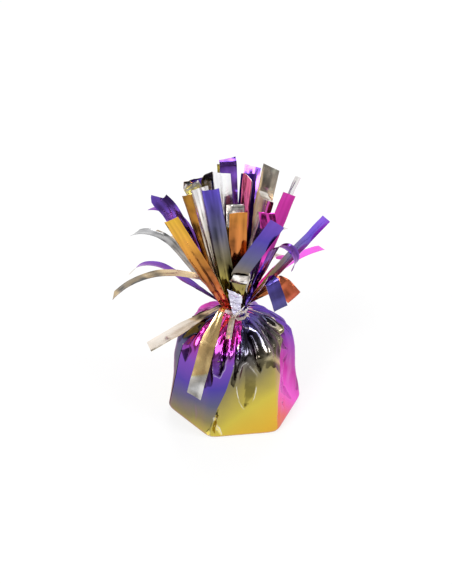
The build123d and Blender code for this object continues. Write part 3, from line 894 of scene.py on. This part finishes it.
def route_mesh(name, points, values):
    """A line of points that carries its directions and values."""
    mesh = bpy.data.meshes.new(name)
    mesh.from_pydata([tuple(point[0]) for point in points], [(i, i + 1) for i in range(len(points) - 1)], [])
    for key, column in (("wide", 1), ("face", 2)):
        layer = mesh.attributes.new(key, "FLOAT_VECTOR", "POINT")
        layer.data.foreach_set("vector", [c for point in points for c in point[column]])
    for key, column in values.items():
        layer = mesh.attributes.new(key, "FLOAT", "POINT")
        layer.data.foreach_set("value", [float(v) for v in np.broadcast_to(column, len(points))])
    return mesh


def baked(shape):
    """Makes an object's modified shape its plain mesh."""
    bpy.context.view_layer.update()
    seen = shape.evaluated_get(bpy.context.evaluated_depsgraph_get())
    mesh = bpy.data.meshes.new_from_object(seen)
    shape.modifiers.clear()
    shape.data = mesh
    return mesh


def thickened(shape, thickness):
    """Gives a sheet its thickness, inwards from its face."""
    skin = shape.modifiers.new("Thickness", "SOLIDIFY")
    skin.thickness = thickness
    skin.offset = -1
    return skin


def lay_strip(name, points, values, settings, films, thickness):
    """One strip of film as a plain mesh, printed or plain on each side.

    The settings are cells across and along, cut of the tip, height of its waves, seed, and slant
    of its tones.
    """
    across, along, cut, wave, seed, slant = settings
    shape = bpy.data.objects.new(name, route_mesh(name + "_route", points, values))
    bpy.context.scene.collection.objects.link(shape)
    tree = bpy.data.node_groups.get(STRIP_TREE) or film_strip_tree()
    modifier = shape.modifiers.new("Strip", "NODES")
    modifier.node_group = tree
    given = {
        "Cells across": across, "Cells along": along, "Tip cut": cut, "Wave": wave, "Seed": seed,
        "Slant": slant, "Film": films[0]}
    for item in tree.interface.items_tree:
        if item.in_out == "INPUT" and item.name in given:
            modifier[item.identifier] = given[item.name]
    thickened(shape, thickness)
    mesh = baked(shape)
    mesh.name = name
    mesh.materials.clear()
    for material in films:
        mesh.materials.append(material)
    cells = across * along
    sides = np.zeros(len(mesh.polygons), dtype=np.int32)
    sides[cells:2 * cells] = 1
    mesh.polygons.foreach_set("material_index", sides)
    mesh.set_sharp_from_angle(angle=STRIP_CREASE)
    return shape


def joined(pieces):
    """Makes the pieces one object, the first."""
    with bpy.context.temp_override(active_object=pieces[0], selected_editable_objects=pieces):
        bpy.ops.object.join()


# Wrap

def eased(value, low, high):
    """Smooth step between two limits."""
    share = np.clip((value - low) / (high - low), 0, 1)
    return share * share * (3 - 2 * share)


def band(height, rise, fall):
    """Rises smoothly from 0 to 1 between two heights, and falls again between two more."""
    return eased(height, *rise) * (1 - eased(height, *fall))


def wrap_profile(wrap):
    """Radius across the corners, height and length along the film, from the base to the collar."""
    low, top, waist = (v / MM for v in (wrap.base_radius, wrap.edge_radius, wrap.waist_radius))
    line = np.array([
        (0.4, 0.0), (low * 0.5, 0.0), (low - 3.2, 0.0), (low - 0.9, 0.15), (low, 1.6), (low - 0.35, 4.0),
        (top + 0.75, 36.5), (top - 0.2, 41.5), (top - 2.2, 45.6), (top - 5.6, 49.0), (17.4, 53.0),
        (10.6, 55.3), (waist + 1.2, 56.1), (waist, 56.9), (waist, 58.3), (waist + 1.0, 59.3),
        (waist + 2.3, 59.8)])
    for _ in range(3):
        cuts = np.empty((2 * (len(line) - 1), 2))
        cuts[0::2] = line[:-1] * 0.75 + line[1:] * 0.25
        cuts[1::2] = line[:-1] * 0.25 + line[1:] * 0.75
        line = np.vstack([line[:1], cuts, line[-1:]])
    run = np.concatenate([[0], np.cumsum(np.hypot(*np.diff(line, axis=0).T))])
    edge, wall, neck = (run[np.argmax(line[:, 1] > height)] for height in (BASE_EDGE, 34.0, 55.9))
    stations = np.concatenate([
        np.linspace(0, edge - 2.5, 5, endpoint=False), np.linspace(edge - 2.5, edge + 2, 8, endpoint=False),
        np.linspace(edge + 2, wall, 34, endpoint=False), np.linspace(wall, neck, 46, endpoint=False),
        np.linspace(neck, run[-1], 12)])
    return np.interp(stations, run, line[:, 0]), np.interp(stations, run, line[:, 1]), stations


def tent(aside, left, right, soft):
    """A ridge line that falls evenly to nothing at its reach on each side."""
    reach = np.where(aside > 0, right, left)
    return np.maximum(0, 1 - (np.sqrt(aside * aside + soft * soft) - soft) / np.maximum(reach, 1e-6))


def apart(azimuth, centre):
    """Signed degrees from a centre line."""
    return (azimuth - centre + 180) % 360 - 180


def valley(azimuth, height, row):
    """Depth of one valley that opens from its foot towards the neck."""
    neck_at, foot_at, foot, left, right, depth = row
    up = np.clip((height - foot) / (NECK_FOOT - foot), 0, 1)
    opening = np.minimum(1, up / VALLEY_WIDEST)
    falling = VALLEY_LEFT + (1 - VALLEY_LEFT) * (1 - up) / (1 - VALLEY_DEEPEST)
    depth = depth * np.where(up < VALLEY_DEEPEST, up / VALLEY_DEEPEST, falling)
    centre = foot_at + apart(neck_at, foot_at) * up
    return -depth * tent(apart(azimuth, centre), left * opening, right * opening, 0.5) * (up > 0)


def dent(azimuth, height, row):
    """Depth of one pointed dent in a wall."""
    top_at, top, foot_at, foot, left, right, widest, depth = row
    down = np.clip((top - height) / (top - foot), 0, 1)
    opening = np.where(down < widest, down / widest, (1 - down) / (1 - widest))
    centre = top_at + (foot_at - top_at) * down
    return depth * opening ** 0.6 * tent(apart(azimuth, centre), left * opening, right * opening, 0.4)


def inset(azimuth, height, outline):
    """Distance in mm inside the outline of a facet, below 0 outside it."""
    first = outline[0][0]
    x = apart(azimuth, first) * DEGREE_MM
    points = [(apart(at, first) * DEGREE_MM, z) for at, z in outline]
    nearest = np.full_like(x, np.inf)
    within = np.zeros(x.shape, dtype=bool)
    for (ax, ay), (bx, by) in zip(points, points[1:] + points[:1]):
        ex, ey = bx - ax, by - ay
        along = np.clip(((x - ax) * ex + (height - ay) * ey) / (ex * ex + ey * ey), 0, 1)
        nearest = np.minimum(nearest, np.hypot(x - ax - ex * along, height - ay - ey * along))
        crossed = ((ay > height) != (by > height)) & (x < ax + (height - ay) * ex / (ey if ey else 1e-9))
        within ^= crossed
    return np.where(within, nearest, -nearest)


def back_valleys(seed):
    """Valleys on the sides that the camera doesn't see, spread like those at the front."""
    pick = np.random.RandomState(seed)
    rows = []
    for start in range(16, 182, 15):
        at = start + pick.uniform(-3, 3)
        rows.append((
            at + pick.uniform(-5, 5), at, pick.uniform(27, 42), pick.uniform(5, 9), pick.uniform(5, 9),
            pick.uniform(2.6, 4.6)))
    return rows


def back_dents(seed):
    """Dents in the walls that the camera doesn't see."""
    pick = np.random.RandomState(seed + 1)
    rows = []
    for start in range(24, 180, 36):
        at = start + pick.uniform(-8, 8)
        top = pick.uniform(24, 38)
        rows.append((
            at, top, at + pick.uniform(-4, 4), top - pick.uniform(10, 20), pick.uniform(4, 9),
            pick.uniform(4, 9), pick.uniform(0.35, 0.55), -pick.uniform(0.7, 1.5)))
    return rows


def neck_pleats(seed):
    """Narrow pleats that run down from the tie all round."""
    pick = np.random.RandomState(seed + 2)
    rows = []
    at = 0.0
    while at < 352:
        width = pick.uniform(3.5, 6.0)
        foot_at = at + pick.uniform(-4, 4)
        rows.append((at, foot_at, pick.uniform(46, 52), width, width, pick.uniform(0.8, 1.6)))
        at += width * pick.uniform(1.8, 2.4)
    return rows


def lap_columns(wrap, height):
    """Columns of the sheet, over each lap to its free edge and back under it.

    Gives arrays of azimuth, stand-off in mm, azimuth of the panel's middle, and degrees by which
    a point under the lap lies further on in the flat sheet.
    """
    gap = wrap.lap_gap / MM * (1 + SHOULDER_GAP * band(height, (40, 47), (53, 56)))
    columns = []
    for panel in range(CORNERS):
        start = CORNER_YAW + SIDE * panel
        corner = start + SIDE
        lean = np.interp(height, *zip(*(FRONT_LAP_LEANS if panel == FRONT_PANEL else LAP_LEANS)))
        reach = corner + lean * LAP_SHARES[panel]
        middle = np.full_like(height, start + SIDE / 2)
        for share in shares(PANEL_COLUMNS):
            azimuth = start + (reach - start) * share
            over = 2 * gap * eased(azimuth, corner - 12, corner - 2)
            over = over * (1 - EDGE_TAPER * eased(azimuth, reach - 2.5, reach))
            columns.append((azimuth, over, middle, np.zeros_like(height)))
        for index in range(1, RETURN_COLUMNS):
            azimuth = reach + (corner - reach) * index / RETURN_COLUMNS
            columns.append((azimuth, RETURN_SHARE * gap, middle, 2 * (reach - azimuth)))
    return (np.array(part).T for part in zip(*columns))


def folds(wrap, azimuth, tall):
    """Height in mm of the valleys, pleats, dents and the frill of the collar."""
    depth = np.zeros_like(tall)
    for row in list(SHOULDER_VALLEYS) + back_valleys(wrap.seed):
        depth = np.minimum(depth, valley(azimuth, tall, row))
    for row in neck_pleats(wrap.seed):
        depth += valley(azimuth, tall, row)
    for row in list(WALL_DENTS) + back_dents(wrap.seed):
        depth += dent(azimuth, tall, row)
    frill = np.abs(((azimuth * FRILLS / 360) % 1) - 0.5) * 2 - 0.5
    return depth + frill * (0.5 * eased(tall, 55.0, 56.5) + 0.5 * eased(tall, 58.4, 59.8))


def pressed_facets(azimuth, tall):
    """Distance inside the facets, their painted shade, painted highlight lines and height in mm.

    The back has the front's facets, turned about, with paler painted shade.
    """
    inner = np.full_like(tall, -FOLD_EDGE)
    dark, pale, depth = np.zeros((3, *tall.shape))
    for turned, strength in ((0, 1), (180, BACK_PAINTED_SHADE)):
        for darkening, line, pressed, outline in FACETS_AND_PAINTED_SHADE:
            deep = inset(azimuth + turned, tall, outline)
            taken = (deep > 0) | (deep > inner)
            inner = np.where(taken, deep, inner)
            dark = np.where(taken, darkening * strength, dark)
            pale = np.where(taken, line, pale)
            depth -= pressed * eased(deep, 0, 2.0)
    return np.clip(inner, -FOLD_EDGE, FOLD_EDGE) + FOLD_EDGE, dark, pale, depth


def soft_relief(wrap, places, tall):
    """Height in mm of the soft waves, the small facets near the neck and the puff over the cup's edge."""
    waves = np.empty_like(tall)
    facets = np.empty_like(tall)
    for index, spot in enumerate(places.reshape(-1, 3)):
        point = Vector(spot)
        waves.flat[index] = noise.noise(point * LONG_WAVE) + 0.4 * noise.noise(point * SHORT_WAVE)
        near = noise.voronoi(point * CRUMPLE_SCALE)[0]
        facets.flat[index] = near[1] - near[0]
    crumple = (0.15 + 0.85 * eased(tall, 30, 46)) * wrap.crumple / MM * np.maximum(0, 0.4 - facets)
    small = band(tall, (1.5, 8), (55, 56.5)) * (wrap.sag / MM * waves - crumple)
    return small + wrap.puff / MM * band(tall, (16, 33), (43, 50))


def round_places(wide, azimuth, tall):
    """Points in mm from radius, azimuth and height."""
    turn = np.radians(azimuth)
    return np.stack([wide * np.cos(turn), wide * np.sin(turn), tall], axis=-1)


def wrap_mesh(wrap):
    """The wrap as one sheet with a lap folded over at each corner."""
    radius, height, run = wrap_profile(wrap)
    azimuth, over, middle, folded = lap_columns(wrap, height)
    tall = height[:, None] * np.ones_like(azimuth)

    # Hexagon with rounded corners, easing into a round at the neck
    middles = [CORNER_YAW + SIDE * (panel + 0.5) for panel in range(CORNERS)]
    total = sum(np.maximum(0, np.cos(np.radians(azimuth - at))) ** CORNER_SHARPNESS for at in middles)
    flat = cos(radians(SIDE / 2)) / total ** (1 / CORNER_SHARPNESS)
    hexed = np.interp(height, (42, 48.4, 53.1, 55.35, NECK_FOOT), (1, 0.85, 0.5, 0.15, 0))[:, None]
    wide = radius[:, None] * (hexed * flat + 1 - hexed)

    # Relief, kept clear of the cup and of the neck's core, and the laps over it
    # The facets' depth, and their painted shade and painted highlight lines
    inner, dark, pale, pressed = pressed_facets(azimuth, tall)
    relief = folds(wrap, azimuth, tall) + pressed + soft_relief(wrap, round_places(wide, azimuth, tall), tall)
    low, high = (Vector(corner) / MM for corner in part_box("cup_shell"))
    narrowing = (wrap.cup_top_radius - wrap.cup_radius) / MM
    cup = wrap.cup_radius / MM + narrowing * (tall - low.z) / (high.z - low.z)
    inside = np.where(tall < high.z + 0.5, cup * flat + CUP_CLEARANCE, NECK_CORE)
    wide = np.maximum(wide + relief, inside) + over * eased(tall, 0.3, 3.0)

    # Place in the print, from where each point lies on the flat sheet
    aside = wide * np.sin(np.radians(azimuth + folded - middle))
    panel = np.arange(azimuth.shape[1]) // (PANEL_COLUMNS + RETURN_COLUMNS - 1)
    start, upward, sideways = (column[panel] for column in np.array(PANEL_PRINTS).T)
    up = run[:, None] - run[np.argmax(height > BASE_EDGE)]
    printed = start + (up * upward + aside * sideways) / 100

    index = np.arange(wide.size).reshape(wide.shape)
    here, above = index[:-1], index[1:]
    quads = np.stack([here, np.roll(here, -1, 1), np.roll(above, -1, 1), above], axis=-1).reshape(-1, 4)
    points = round_places(wide, azimuth, tall + BASE_LIFT) * MM
    mesh = bpy.data.meshes.new("wrap_film")
    mesh.from_pydata(points.reshape(-1, 3).tolist(), [], quads.tolist() + [index[0][::-1].tolist()])
    # Print, tone, and the facets' painted shade and painted highlight lines, kept on the points
    for name, values in (
            ("print_at", printed), ("tone_at", np.full_like(wide, 0.4)), ("fold_at", inner),
            ("painted_shade_at", dark), ("painted_highlight_at", pale)):
        layer = mesh.attributes.new(name, "FLOAT", "POINT")
        layer.data.foreach_set("value", values.reshape(-1).astype(float))
    return mesh


class WEIGHT_OT_wrap(bpy.types.Operator):
    """Wraps the ballast in film with laps, pleats and pressed folds"""

    bl_idname = "balloon_weight.wrap"
    bl_label = "Wrap"

    def execute(self, context):
        film = context.scene.weight_film
        shape = bpy.data.objects.new("wrap_film", wrap_mesh(context.scene.weight_wrap))
        context.scene.collection.objects.link(shape)
        thickened(shape, film.thickness).material_offset = 1
        for material in film_materials(film):
            shape.data.materials.append(material)
        mesh = baked(shape)
        mesh.shade_smooth()
        mesh.set_sharp_from_angle(angle=WRAP_CREASE)
        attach(shape, "weight")
        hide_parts("foil_wrap")
        return {"FINISHED"}


# Fringe

def rolled_route(points, part, roll, start, end):
    """A route whose width rolls over between two shares of its length."""
    rolled = []
    for (place, wide, face), share in zip(points, part):
        degrees = roll * min(1, max(0, (share - start) / (end - start)))
        rolled.append((place, *swung(wide, face, degrees)))
    return rolled


def strip_values(name, seed, part, length, film):
    """Width, folds, print, tone, painted shade and painted streaks at each share of a strip's length."""
    _, root_print, tip_print, root_tone, tip_tone, _, _ = STRIP_LOOKS[name]
    painted_streak, step, _, shades = STRIP_TONES_AND_PAINTED_SHADE.get(name, PLAIN_TONE_AND_PAINTED_SHADE)
    gathered = film.gather_width / MM
    usual, gather = (gathered, 1.0, 0.5), 1.6 * MM
    if name in HINGED_ROUTES:
        usual, gather = (gathered * 0.5, 0.3, 0.15), 0.5 * MM
    root, crush, crease = (value * MM for value in ROOT_LOOKS.get(name, usual))
    opened = np.clip(part * length / film.gather_length, 0, 1) ** 1.5
    closed = 1 - opened
    return {
        "half": (root + (film.strip_width - root) * opened) / 2,
        "fold": gather * closed + crease * (1 - 0.6 * part),
        "curl": 0.5 * MM * np.sin(seed * 2.4) * part * opened,
        "crush": (crush * closed + 0.12 * min(crush, MM)) * np.minimum(1, part * 8),
        "print_at": root_print + (tip_print - root_print) * part,
        "tone_at": root_tone + (tip_tone - root_tone) * eased(part, step - 0.02, step + 0.02),
        # Painted shade along the strip, a painted highlight below 0, and the strength of its painted streaks
        "painted_shade_at": np.interp(part, *zip(*shades)),
        "painted_streak": painted_streak * (1 - 0.5 * part),
    }


def bend_fold(name, points, part, film, plain):
    """The plain side of the film, shown where a strip is folded over itself."""
    middle, length, lift, turned = FOLDED_BENDS[name]
    place, wide, face = points[int(np.argmin(np.abs(part - middle)))]
    along, wide = swung(face.cross(wide), wide, turned)
    share = np.linspace(0, 1, 24)
    fold = []
    for at in share:
        slope = lift / length * pi * cos(pi * at)
        rise = lift * (0.4 + sin(pi * at))
        spot = place + along * ((at - 0.5) * length * MM) + face * (rise * MM)
        fold.append((spot, wide.copy(), (face - along * slope).normalized()))
    # Painted shade at the ends of the fold and a painted highlight in its middle, with painted streaks
    values = {
        "half": film.strip_width / 2, "fold": 0.3 * MM, "curl": -0.4 * MM, "crush": 0.4 * MM,
        "print_at": share, "tone_at": 0.25, "painted_streak": 0.5,
        "painted_shade_at": np.interp(share, (0, 0.25, 0.5, 0.8, 1), (0.9, 0.5, -0.4, 0.2, 0.8))}
    settings = (*FOLD_CELLS, 0.1, 0.3 * MM, 5.0, 0.2)
    return lay_strip(name + "_fold", fold, values, settings, (plain, plain), film.thickness)


class WEIGHT_OT_strips(bpy.types.Operator):
    """Lays every strip of the fringe along its route"""

    bl_idname = "balloon_weight.strips"
    bl_label = "Fringe strips"

    def execute(self, context):
        film = context.scene.weight_film
        printed, plain = film_materials(film)
        sides = {1: (printed, plain), -1: (plain, printed), 0: (printed, printed)}
        for seed, name in enumerate(STRIP_LOOKS):
            hinged = name in HINGED_ROUTES
            row = HINGED_ROUTES[name] if hinged else FIXED_ROUTES[name]
            points = strip_route(row, hinged, film.strip_length, TIP_FOLDS.get(name, (0, 0)))
            length = sum((b[0] - a[0]).length for a, b in zip(points, points[1:]))
            part = np.array(shares(len(points)))
            outward, *_, roll, cut = STRIP_LOOKS[name]
            rolled = rolled_route(points, part, roll, *ROLL_SHARES.get(name, (0, 0.8)))
            values = strip_values(name, seed, part, length, film)
            slant = STRIP_TONES_AND_PAINTED_SHADE.get(name, PLAIN_TONE_AND_PAINTED_SHADE)[2]
            settings = (*STRIP_CELLS, cut, STRIP_WAVE, seed * SEED_STEP, slant)
            strip = lay_strip(name + "_film", rolled, values, settings, sides[outward], film.thickness)
            if name in FOLDED_BENDS:
                joined([strip, bend_fold(name, rolled, part, film, plain)])
            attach(strip, name if hinged else "weight")
            node = name + "_strip"
            if name.startswith("back_bowed"):
                node = "back_bowed_strip_" + name[-1]
            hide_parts(node)
        return {"FINISHED"}


# Tie

def tie_band():
    """Two turns round the neck."""
    points = []
    for share in shares(74):
        azimuth = 282 + 730 * share
        rise = TIE_HEIGHT + 0.35 * sin(radians(azimuth * 2)) + 0.5 * (share - 0.5)
        out = level(azimuth)
        points.append((out * (6.35 + 0.25 * share) * MM + UP * rise * MM, UP.copy(), out))
    return points


def tie_loop():
    """The loop of the knot."""
    front, sidewise = level(282), level(372)
    points = []
    for share in shares(40):
        angle = radians(370.5 * share)
        rise = TIE_HEIGHT + 0.6 + 2.3 * sin(angle)
        place = front * (8.3 + 1.3 * sin(angle * 0.5)) + sidewise * (3.2 * cos(angle) + 1.0) + UP * rise
        heading = (sidewise * -sin(angle) + UP * cos(angle)).normalized()
        out = (sidewise * cos(angle) + UP * sin(angle)).normalized()
        points.append((place * MM, heading.cross(out).normalized(), out))
    return points


def tie_tail():
    """The tail that hangs over the shoulder."""
    out, wide = level(262), level(352)
    points = []
    for share in shares(30):
        rise = TIE_HEIGHT - 3.4 * share - 1.2 * share * share
        points.append(((out * (6.9 + 16.6 * share) + UP * rise) * MM, wide, (out * 0.3 + UP).normalized()))
    return points


def tie_end():
    """The end that leaves the knot level, then stands up and twists."""
    out, sidewise = level(274), level(364)
    bend = 0.22
    points = []
    for share in shares(40):
        run = min(share / bend, 1)
        rise = max(share - bend, 0) / (1 - bend)
        place = out * (6.5 + 3.5 * run + 1.6 * rise) + UP * (TIE_HEIGHT + 1.9 * run + 16.2 * rise)
        turn = radians(62 - 54 * min(1, max(0, (share - 0.14) / 0.16)))
        face = out * cos(turn) - UP * sin(turn)
        points.append(((place - sidewise * 0.7 * rise) * MM, *swung(sidewise, face, -26 * rise)))
    return points


def tie_cross():
    """The short piece across the knot."""
    points = []
    for share in shares(24):
        azimuth = 292 - 34 * share
        out = level(azimuth)
        place = out * (10.6 - 1.2 * share) + UP * (TIE_HEIGHT + 5.2 - 6.0 * share)
        points.append((place * MM, (UP + level(azimuth - 290) * 0.6).normalized(), out))
    return points


# Windings of the tie: route, width in mm, seed, crush in mm, tone, cut of the tip, share of
# its width that it starts with
TIE_WINDINGS = (
    (tie_band, 2.3, 4.0, 0.3, 0.45, 0.02, 1.0),
    (tie_loop, 2.6, 9.0, 0.9, 0.28, 0.02, 1.0),
    (tie_tail, 2.8, 2.0, 0.15, 0.05, 0.02, 1.0),
    (tie_end, 8.4, 6.0, 2.2, 0.80, -0.15, 0.26),
    (tie_cross, 3.4, 12.0, 0.6, 0.35, 0.02, 1.0),
)


class WEIGHT_OT_tie(bpy.types.Operator):
    """Winds the pale ribbon round the neck and knots it at the front"""

    bl_idname = "balloon_weight.tie"
    bl_label = "Neck tie"

    def execute(self, context):
        ribbon = ribbon_film()
        made = []
        for route, width, seed, crush, tone, cut, narrow in TIE_WINDINGS:
            points = route()
            part = np.array(shares(len(points)))
            values = {
                "half": (narrow + (1 - narrow) * part) * width * MM / 2, "fold": 0.25 * MM,
                "curl": -0.15 * MM, "crush": crush * MM, "print_at": part, "tone_at": tone, "painted_shade_at": 0,
                "painted_streak": 0}
            settings = (*RIBBON_CELLS, cut, RIBBON_WAVE, seed, 0.0)
            films = (ribbon, ribbon)
            made.append(lay_strip(route.__name__, points, values, settings, films, RIBBON_THICKNESS))
        joined(made)
        tie = made[0]
        tie.name = "neck_ribbon"
        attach(tie, "weight")
        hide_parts("neck_tie")
        return {"FINISHED"}


class WEIGHT_OT_ballast(bpy.types.Operator):
    """Gives the cup, the cast filling and the card inside their materials"""

    bl_idname = "balloon_weight.ballast"
    bl_label = "Ballast"

    def execute(self, context):
        for node, *finish in (
                ("cup_shell", "moulded_cup", (0.66, 0.65, 0.62), (0.72, 0.71, 0.68), 120, 0.5, 0.0001),
                ("ballast_fill", "cast_filling", (0.48, 0.45, 0.41), (0.62, 0.59, 0.54), 300, 0.85, 0.0006),
                ("base_card", "grey_card", (0.33, 0.30, 0.26), (0.44, 0.41, 0.36), 700, 0.8, 0.0003)):
            material = mottled(*finish)
            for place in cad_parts[node].material_slots:
                place.material = material
        return {"FINISHED"}


class WEIGHT_OT_stage(bpy.types.Operator):
    """Sets the floor, the light and the camera"""

    bl_idname = "balloon_weight.stage"
    bl_label = "Stage"

    def execute(self, context):
        stage = context.scene.weight_stage
        scene = context.scene
        scene.view_settings.view_transform = "Standard"
        bpy.ops.mesh.primitive_plane_add(size=8)
        floor = context.object
        floor.name = "floor"
        floor.data.materials.append(self.floor_material(stage))
        self.world(scene)
        self.lamp("key_light", stage.key, 0.5, (-0.55, -0.75, 0.95))
        self.lamp("fill_light", stage.fill, 0.45, (0.85, -0.35, 0.75))
        self.lamp("back_light", stage.fill, 0.5, (0.1, 0.9, 0.9))
        self.dark_canopy()
        self.camera(scene, stage)
        return {"FINISHED"}

    def camera(self, scene, stage):
        """A camera fitted to the photograph."""
        eye = bpy.data.cameras.new("camera")
        view = bpy.data.objects.new("camera", eye)
        scene.collection.objects.link(view)
        back = Vector((0, -cos(stage.elevation), sin(stage.elevation)))
        rise = Vector((0, sin(stage.elevation), cos(stage.elevation)))
        scale = CAMERA_DISTANCE / FOCAL_PIXELS
        aside = (PICTURE_MIDDLE[0] - BASE_PIXEL[0]) * scale
        up = (BASE_PIXEL[1] - PICTURE_MIDDLE[1]) * scale
        view.location = back * CAMERA_DISTANCE + Vector((1, 0, 0)) * aside + rise * up
        view.rotation_euler = (pi / 2 - stage.elevation, 0, 0)
        eye.sensor_fit = "VERTICAL"
        eye.sensor_height = 24
        eye.lens = stage.lens
        eye.clip_start = 0.01
        eye.dof.use_dof = False
        scene.camera = view

    def seen(self, tree):
        """1 for rays from the camera and for mirrored or passed rays."""
        path = tree.nodes.new("ShaderNodeLightPath")
        value = path.outputs["Is Camera Ray"]
        for name in ("Is Glossy Ray", "Is Transmission Ray"):
            value = worked(tree, "MAXIMUM", value, path.outputs[name])
        return value

    def floor_material(self, stage):
        """Pale floor that shows white and keeps a soft shadow."""
        material, tree, shader = new_material("pale_floor")
        shader.inputs["Base Color"].default_value = (*stage.floor, 1)
        shader.inputs["Roughness"].default_value = 0.9
        glow = tree.nodes.new("ShaderNodeEmission")
        mix = tree.nodes.new("ShaderNodeMixShader")
        link(tree, worked(tree, "MULTIPLY", self.seen(tree), FLOOR_GLOW), mix.inputs["Fac"])
        link(tree, shader.outputs["BSDF"], mix.inputs[1])
        link(tree, glow.outputs["Emission"], mix.inputs[2])
        link(tree, mix.outputs["Shader"], tree.nodes["Material Output"].inputs["Surface"])
        return material

    def world(self, scene):
        """White surroundings for the camera and mirrored rays, soft light otherwise."""
        world = bpy.data.worlds.new("studio")
        scene.world = world
        world.use_nodes = True
        tree = world.node_tree
        background = tree.nodes["Background"]
        background.inputs["Color"].default_value = (1, 1, 1, 1)
        link(tree, spread(tree, self.seen(tree), 0.0, 1.0, SOFT_LIGHT, 1.0), background.inputs["Strength"])

    def lamp(self, name, power, size, place):
        """A soft square lamp that faces the weight."""
        data = bpy.data.lights.new(name, "AREA")
        data.energy = power
        data.size = size
        lamp = bpy.data.objects.new(name, data)
        lamp.location = place
        lamp.rotation_euler = (Vector((0, 0, 0.06)) - Vector(place)).to_track_quat("-Z", "Y").to_euler()
        bpy.context.scene.collection.objects.link(lamp)

    def dark_canopy(self):
        """Dark cards above the horizon that only mirrored rays see: whole low at the front, slit above."""
        mesh = bpy.data.meshes.new("dark_canopy")
        points, faces = [], []
        columns, rungs = 13, 9
        cards = [(180, 180, 2, 36)]
        cards += [(start, 25, 36 if start >= 180 else 52, 86) for start in range(0, 360, 30)]
        for start, width, foot, head in cards:
            base = len(points)
            for column in shares(columns):
                for rung in shares(rungs):
                    lift = radians(foot + (head - foot) * rung)
                    out = level(start + width * column) * cos(lift) + UP * sin(lift)
                    points.append(tuple(out * CANOPY_RADIUS))
            for column in range(columns - 1):
                for rung in range(rungs - 1):
                    corner = base + column * rungs + rung
                    faces.append((corner, corner + rungs, corner + rungs + 1, corner + 1))
        mesh.from_pydata(points, [], faces)
        mesh.materials.append(self.card_material())
        card = bpy.data.objects.new("dark_canopy", mesh)
        bpy.context.scene.collection.objects.link(card)
        card.visible_camera = False
        card.visible_diffuse = False
        card.visible_shadow = False
        card.visible_transmission = False

    def card_material(self):
        """Uneven dark glow that pales towards the horizon."""
        material, tree, shader = new_material("dark_card")
        tree.nodes.remove(shader)
        glow = tree.nodes.new("ShaderNodeEmission")
        dark = ramped(tree, object_noise(tree, 1.3, 1.0), ((0.42, CARD_DARK), (0.68, CARD_PALE)))
        place = tree.nodes.new("ShaderNodeTexCoord")
        parts = tree.nodes.new("ShaderNodeSeparateXYZ")
        link(tree, place.outputs["Object"], parts.inputs[0])
        low = spread(tree, parts.outputs["Z"], 0.05, 0.42, 0.85, 0.0)
        link(tree, mixed_colour(tree, low, dark, (1, 1, 1)), glow.inputs["Color"])
        link(tree, glow.outputs["Emission"], tree.nodes["Material Output"].inputs["Surface"])
        return material


class WEIGHT_PT_panel(bpy.types.Panel):
    """Lists the pieces of the balloon weight"""

    bl_idname = "WEIGHT_PT_panel"
    bl_label = "Balloon Weight"
    bl_space_type = "VIEW_3D"
    bl_region_type = "UI"
    bl_category = "Balloon Weight"

    def draw(self, context):
        layout = self.layout
        for operator in OPERATORS:
            layout.operator(operator.bl_idname)
        for settings in (context.scene.weight_film, context.scene.weight_wrap, context.scene.weight_stage):
            box = layout.box()
            for key in settings.__annotations__:
                box.prop(settings, key)


OPERATORS = (WEIGHT_OT_wrap, WEIGHT_OT_strips, WEIGHT_OT_tie, WEIGHT_OT_ballast, WEIGHT_OT_stage)
CLASSES = (FilmSettings, WrapSettings, StageSettings, *OPERATORS, WEIGHT_PT_panel)


def register():
    for each in CLASSES:
        bpy.utils.register_class(each)
    bpy.types.Scene.weight_film = PointerProperty(type=FilmSettings)
    bpy.types.Scene.weight_wrap = PointerProperty(type=WrapSettings)
    bpy.types.Scene.weight_stage = PointerProperty(type=StageSettings)


def unregister():
    del bpy.types.Scene.weight_stage
    del bpy.types.Scene.weight_wrap
    del bpy.types.Scene.weight_film
    for each in reversed(CLASSES):
        bpy.utils.unregister_class(each)


def main():
    register()
    bpy.ops.balloon_weight.wrap()
    bpy.ops.balloon_weight.strips()
    bpy.ops.balloon_weight.tie()
    bpy.ops.balloon_weight.ballast()
    bpy.ops.balloon_weight.stage()


if __name__ == "__main__":
    main()
